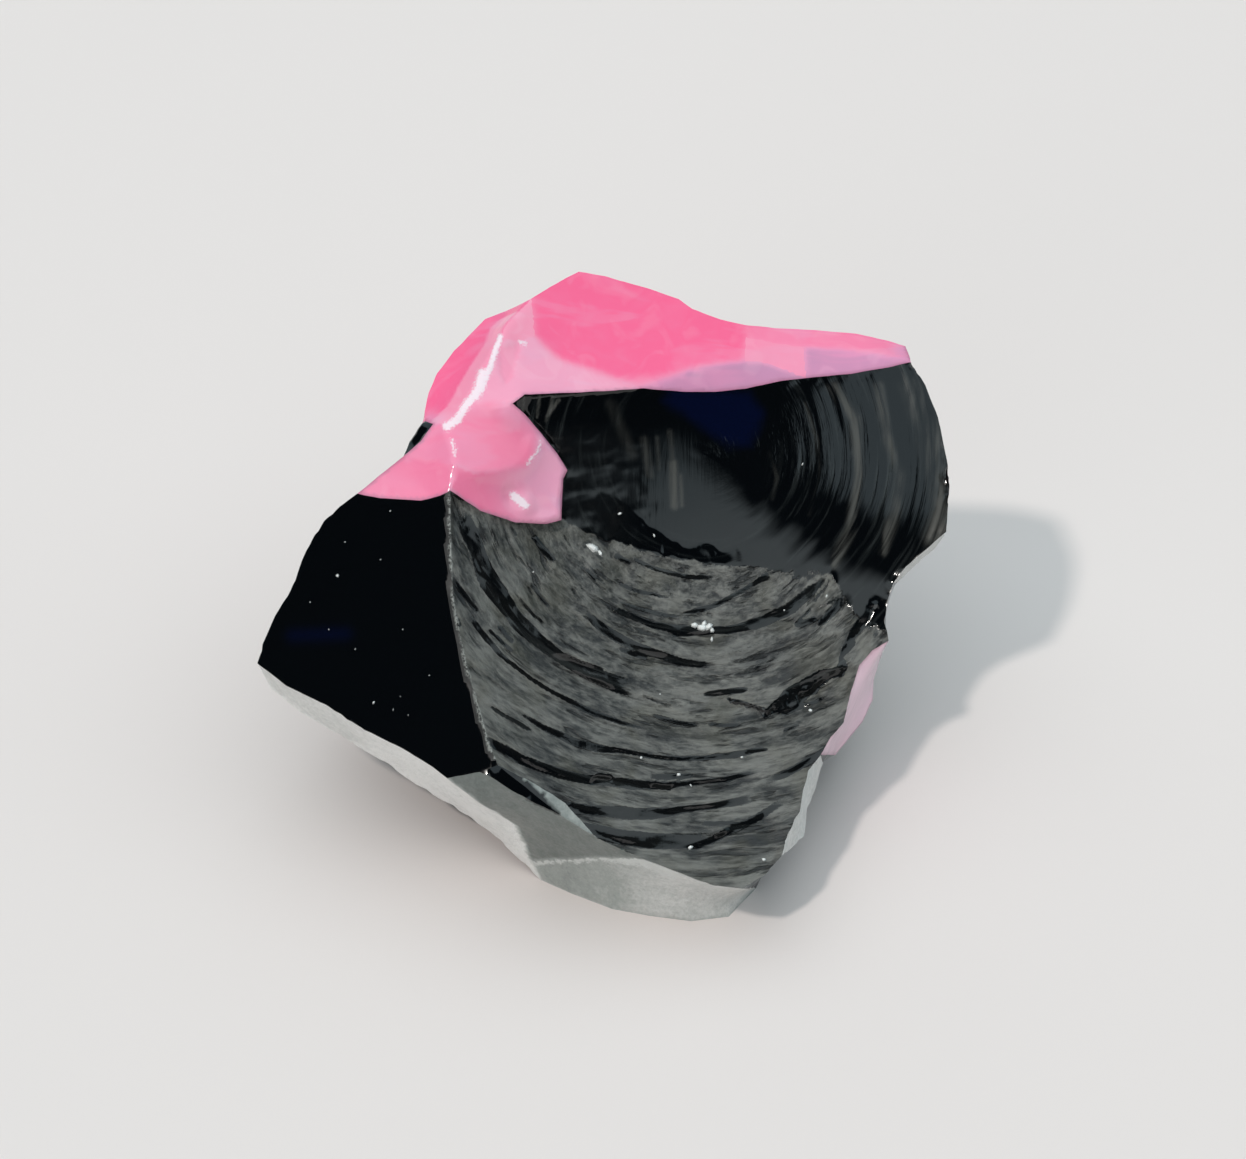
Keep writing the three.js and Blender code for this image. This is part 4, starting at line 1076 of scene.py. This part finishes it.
def glass_material():
    material = bpy.data.materials.new("black_pink_glass")
    material.use_nodes = True
    g = Graph(material.node_tree)
    place = g.add("ShaderNodeTexCoord").outputs["Object"]
    place = g.add("ShaderNodeVectorMath", {"operation": "SCALE"}, Vector=place, Scale=1000.0).outputs[0]
    pink, pale, tone = g.facts("glass")
    grained, wall_shade_and_blur, dust = g.facts("wear")
    edge, painted_navy, milky_sheen = g.facts("marks")
    reach, arc, milk = g.facts("grain")
    unpink = g.math("SUBTRACT", 1.0, pink)

    along = g.add("ShaderNodeCombineXYZ", X=reach, Y=g.product(arc, 0.25), Z=0.0).outputs[0]
    flat = g.add("ShaderNodeCombineXYZ", X=reach, Y=g.product(arc, 0.45), Z=3.0).outputs[0]
    fibre = g.noise(along, 1.9, 6.0, 0.70, 0.4)
    scales = g.noise(flat, 2.6, 4.0, 0.65, 0.2)
    fine_fibre = g.noise(along, 5.0, 3.0, 0.6)
    ragged = g.product(g.math("SUBTRACT", g.blend(0.5, fibre, scales), 0.5), 1.6)
    mixed = g.product(grained, g.math("SUBTRACT", 1.0, grained), 4.0)
    grain_here = g.between(g.math("ADD", grained, g.product(ragged, mixed)), 0.35, 0.65)
    # Painted shade: ledge and step walls lose the grey grain and gloss and show as smooth black glass.
    wall = g.between(g.math("ADD", wall_shade_and_blur, g.product(ragged, 0.6)), 0.36, 0.62)
    rough = g.math("MULTIPLY", grain_here, g.math("SUBTRACT", 1.0, g.product(wall, 0.96)))
    blurred = g.product(g.math("SUBTRACT", 1.0, grain_here), wall_shade_and_blur)
    broad = g.noise(g.add("ShaderNodeCombineXYZ", X=reach, Y=g.product(arc, 0.3), Z=7.0).outputs[0], 0.55, 4.0, 0.62, 0.5)
    dashes = g.noise(g.add("ShaderNodeCombineXYZ", X=reach, Y=g.product(arc, 0.15), Z=11.0).outputs[0], 1.15, 3.0, 0.55, 0.3)
    dashes = g.product(g.between(dashes, 0.56, 0.62), g.between(broad, 0.62, 0.44))
    sweep = g.noise(g.add("ShaderNodeCombineXYZ", X=reach, Y=g.product(arc, 0.04), Z=0.0).outputs[0], 1.25, 4.0, 0.6)
    upward = g.between(g.math("ABSOLUTE", arc), 40.0, 62.0, 1.0, 0.0)
    axes = g.add("ShaderNodeSeparateXYZ", Vector=place).outputs
    upright = g.add("ShaderNodeCombineXYZ", X=axes[0], Y=g.product(axes[2], 0.10), Z=0.0).outputs[0]
    curtain = g.noise(upright, 1.7, 3.0, 0.6)
    on_right = g.between(axes[0], 8.0, 13.0)
    brushed = g.blend(on_right, g.between(curtain, 0.3, 0.6, 0.35, 1.0), g.between(sweep, 0.36, 0.58))
    # Painted sheen: the streaks lighten the black glass and make it rougher.
    shine = g.product(g.between(milky_sheen, 0.05, 0.9), brushed, 1.1)
    swirl = g.add("ShaderNodeCombineXYZ", X=g.product(axes[0], 0.5), Y=axes[1], Z=axes[2]).outputs[0]
    swirl = g.noise(swirl, 0.16, 2.0, 0.5, 1.6)
    grit = g.noise(place, 2.4, 4.0, 0.65)
    cloud = g.noise(place, 0.16, 3.0, 0.5, 1.2)
    wisp = g.noise(place, 0.30, 2.0, 0.45, 1.2)
    speck = g.noise(place, 4.0, 3.0, 0.7)

    rose = g.math("ADD", tone, g.product(g.math("SUBTRACT", wisp, 0.5), 0.20))
    rose = g.math("ADD", rose, g.product(g.math("SUBTRACT", cloud, 0.5), 0.20))
    rose = g.math("SUBTRACT", rose, g.product(g.between(swirl, 0.50, 0.64), 0.16), clamp=True)
    pink_tint = g.ramp(rose, PINKS)
    veil = g.math("ADD", milk, g.product(g.between(wisp, 0.52, 0.72), 0.08), clamp=True)
    pink_tint = g.colour(veil, pink_tint, (0.98, 0.66, 0.78))
    # Painted highlights and crushed whitening on the pink glass.
    whitened_and_glinting = g.between(g.math("ADD", milky_sheen, g.product(g.math("SUBTRACT", speck, 0.5), 1.5)), 0.25, 0.80)
    whitened_and_glinting = g.product(whitened_and_glinting, g.between(milky_sheen, 0.03, 0.2))
    pink_tint = g.colour(g.product(whitened_and_glinting, 0.85), pink_tint, (0.97, 0.86, 0.91))
    pink_tint = g.colour(g.product(edge, 0.6), pink_tint, (0.30, 0.06, 0.12))

    smooth_black = g.colour(g.product(g.between(sweep, 0.52, 0.72), g.between(reach, 6.0, 14.0), upward, 0.7),
                            (0.0012, 0.0016, 0.0022), (0.034, 0.038, 0.038))
    flaked = g.blend(0.5, g.blend(0.5, fibre, scales), broad)
    flaked = g.colour(g.between(flaked, 0.40, 0.61), (0.012, 0.013, 0.014), (0.182, 0.178, 0.163))
    flaked = g.colour(g.product(g.between(cloud, 0.45, 0.7), 0.35), flaked, (0.085, 0.078, 0.052))
    flaked = g.colour(g.product(dashes, 0.85), flaked, (0.006, 0.007, 0.008))
    black = g.colour(rough, smooth_black, flaked)
    # Painted reflection: the navy patch on the bowl, and the navy smear on the left face.
    black = g.colour(g.product(painted_navy, 0.9), black, (0.0010, 0.0028, 0.019))
    black = g.colour(g.product(shine, unpink, 0.42), black, (0.15, 0.145, 0.13))

    # Painted reflection of the floor on the undercut faces, with grit and frost.
    ash = g.math("ADD", tone, g.product(g.math("SUBTRACT", grit, 0.5), 0.40))
    ash = g.math("ADD", ash, g.product(g.math("SUBTRACT", wisp, 0.5), 0.25), clamp=True)
    floor_reflection_tint = g.ramp(ash, FLOOR_REFLECTION_TINTS)
    blotch = g.blend(0.5, speck, g.noise(place, 1.3, 3.0, 0.6))
    frost_and_light = g.between(g.math("ADD", milk, g.product(g.math("SUBTRACT", blotch, 0.5), 2.4)), 0.35, 0.75)
    floor_reflection_tint = g.colour(g.product(frost_and_light, g.between(milk, 0.02, 0.15), 0.8), floor_reflection_tint, (0.66, 0.67, 0.65))

    base = g.colour(pink, black, pink_tint)
    base = g.colour(pale, base, floor_reflection_tint)
    # Whitened chips on that ridge, partly a painted highlight.
    chips_and_glint = g.product(g.between(edge, 0.22, 0.7), g.between(speck, 0.40, 0.56), unpink)
    base = g.colour(g.product(chips_and_glint, 0.6), base, (0.50, 0.51, 0.48))
    base = g.colour(dust, base, (0.88, 0.88, 0.86))

    gloss = g.blend(rough, g.blend(blurred, 0.05, 0.26), 0.40)
    gloss = g.math("ADD", gloss, g.product(shine, 0.2))
    gloss = g.math("MAXIMUM", gloss, g.product(g.between(edge, 0.005, 0.06), 0.45))
    gloss = g.blend(pink, gloss, g.math("ADD", 0.10, g.product(cloud, 0.10)))
    gloss = g.blend(g.product(pink, whitened_and_glinting), gloss, 0.22)
    gloss = g.blend(pale, gloss, g.math("ADD", 0.25, g.product(tone, 0.35)))
    gloss = g.blend(g.math("MAXIMUM", g.product(chips_and_glint, 0.5), dust), gloss, 0.85)

    height = g.math("ADD", g.product(fibre, 0.20), g.product(scales, 0.14))
    height = g.math("ADD", height, g.product(fine_fibre, 0.05))
    height = g.math("ADD", height, g.product(g.math("SUBTRACT", broad, dashes), 0.22))
    height = g.product(rough, g.math("SUBTRACT", height, 0.29))
    smooth_part = g.product(g.math("SUBTRACT", 1.0, rough), unpink, g.between(reach, 0.1, 1.0))
    height = g.math("ADD", height, g.product(smooth_part, on_right, upward, sweep, g.between(arc, 22.0, 29.0, 0.012, 0.05)))
    height = g.math("ADD", height, g.product(smooth_part, g.math("SUBTRACT", 1.0, on_right), curtain, 0.012))
    height = g.math("ADD", height, g.product(pale, grit, g.math("ADD", 0.03, g.product(tone, 0.16))))
    height = g.math("ADD", height, g.product(pink, wisp, 0.04))
    height = g.math("ADD", height, g.product(pink, whitened_and_glinting, speck, 0.03))
    height = g.math("ADD", height, g.product(chips_and_glint, 0.03))
    height = g.math("ADD", height, g.product(dust, speck, 0.1))
    bump = g.add("ShaderNodeBump", Strength=1.0, Distance=MM, Height=height).outputs[0]

    shader = g.add("ShaderNodeBsdfPrincipled", Base_Color=base, Roughness=gloss, Normal=bump, IOR=1.52)
    g.add("ShaderNodeOutputMaterial", Surface=shader.outputs[0])
    return material


def floor_material():
    material = bpy.data.materials.new("pale_floor")
    material.use_nodes = True
    g = Graph(material.node_tree)
    shader = g.add("ShaderNodeBsdfPrincipled", Base_Color=(0.80, 0.72, 0.695, 1), Roughness=0.85, IOR=1.2)
    g.add("ShaderNodeOutputMaterial", Surface=shader.outputs[0])
    return material


def add_floor():
    mesh = bpy.data.meshes.new("floor")
    size = 3.0
    mesh.from_pydata([(-size, -size, 0), (size, -size, 0), (size, size, 0), (-size, size, 0)], [], [(0, 1, 2, 3)])
    floor = bpy.data.objects.new("floor", mesh)
    bpy.context.scene.collection.objects.link(floor)
    floor.data.materials.append(floor_material())


def aim(thing, place, target):
    thing.location = place
    thing.rotation_euler = (Vector(target) - Vector(place)).to_track_quat("-Z", "Y").to_euler()


def add_camera():
    data = bpy.data.cameras.new("camera")
    data.lens = 101.1
    data.sensor_width = 36.0
    camera = bpy.data.objects.new("camera", data)
    bpy.context.scene.collection.objects.link(camera)
    back = np.array((0, -math.cos(SLOPE), math.sin(SLOPE)))
    aim(camera, tuple((SLOPE_CENTRE + 350 * back) * MM), tuple(SLOPE_CENTRE * MM))
    bpy.context.scene.camera = camera


def add_light(name, kind, place, energy, tint, **settings):
    data = bpy.data.lights.new(name, kind)
    data.energy = energy
    data.color = tint
    for key, value in settings.items():
        setattr(data, key, value)
    light = bpy.data.objects.new(name, data)
    bpy.context.scene.collection.objects.link(light)
    aim(light, place, (0, 0, 0.02))


# Two pale patches in the dark front of the room: towards, cosines where each starts and is full, light.
PALE_WALLS = [
    ((-0.56, -0.82, 0.10), 0.925, 0.965, (1.7, 1.8, 1.8)), ((-0.30, -0.83, 0.47), 0.960, 0.976, (0.66, 0.82, 0.90)),
]


DARK_DOORWAY = (0.75, -0.59, 0.30)      # a dark opening low on the right of the room


def add_lights():
    """A soft sun from the front left, a broad soft sky behind and to the right, a dark room in front."""
    add_light("key", "SUN", (-0.424, -0.371, 0.826), 1.18, (1.0, 0.96, 0.91), angle=math.radians(4))
    world = bpy.data.worlds.new("studio")
    world.use_nodes = True
    g = Graph(world.node_tree)
    way = g.add("ShaderNodeTexCoord").outputs["Generated"]
    facing = g.add("ShaderNodeVectorMath", {"operation": "DOT_PRODUCT"}, Vector=way).outputs["Value"]
    facing.node.inputs[1].default_value = (0.57, 0.628, 0.528)
    height = g.add("ShaderNodeSeparateXYZ", Vector=way).outputs[2]
    sky = g.colour(g.between(height, 0.25, 0.85), (0.34, 0.48, 0.54), (1.00, 1.14, 1.19))
    room = (0.016, 0.024, 0.030)
    for towards, start, full, tint in PALE_WALLS:
        glow = g.add("ShaderNodeVectorMath", {"operation": "DOT_PRODUCT"}, Vector=way).outputs["Value"]
        glow.node.inputs[1].default_value = towards
        room = g.colour(g.between(glow, start, full), room, tint)
    tint = g.colour(g.between(facing, -0.04, 0.06), room, sky)
    doorway = g.add("ShaderNodeVectorMath", {"operation": "DOT_PRODUCT"}, Vector=way).outputs["Value"]
    doorway.node.inputs[1].default_value = DARK_DOORWAY
    tint = g.colour(g.between(doorway, 0.915, 0.945), tint, (0.016, 0.024, 0.030))
    background = g.add("ShaderNodeBackground", Color=tint, Strength=1.0)
    g.add("ShaderNodeOutputWorld", Surface=background.outputs[0])
    bpy.context.scene.world = world


stone = build_stone()
piece = add_mesh("andara_glass_stone", stone)
piece.data.materials.append(glass_material())
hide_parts("andara_glass")
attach(piece, "root")

add_floor()
add_camera()
add_lights()
bpy.context.scene.view_settings.view_transform = "Standard"
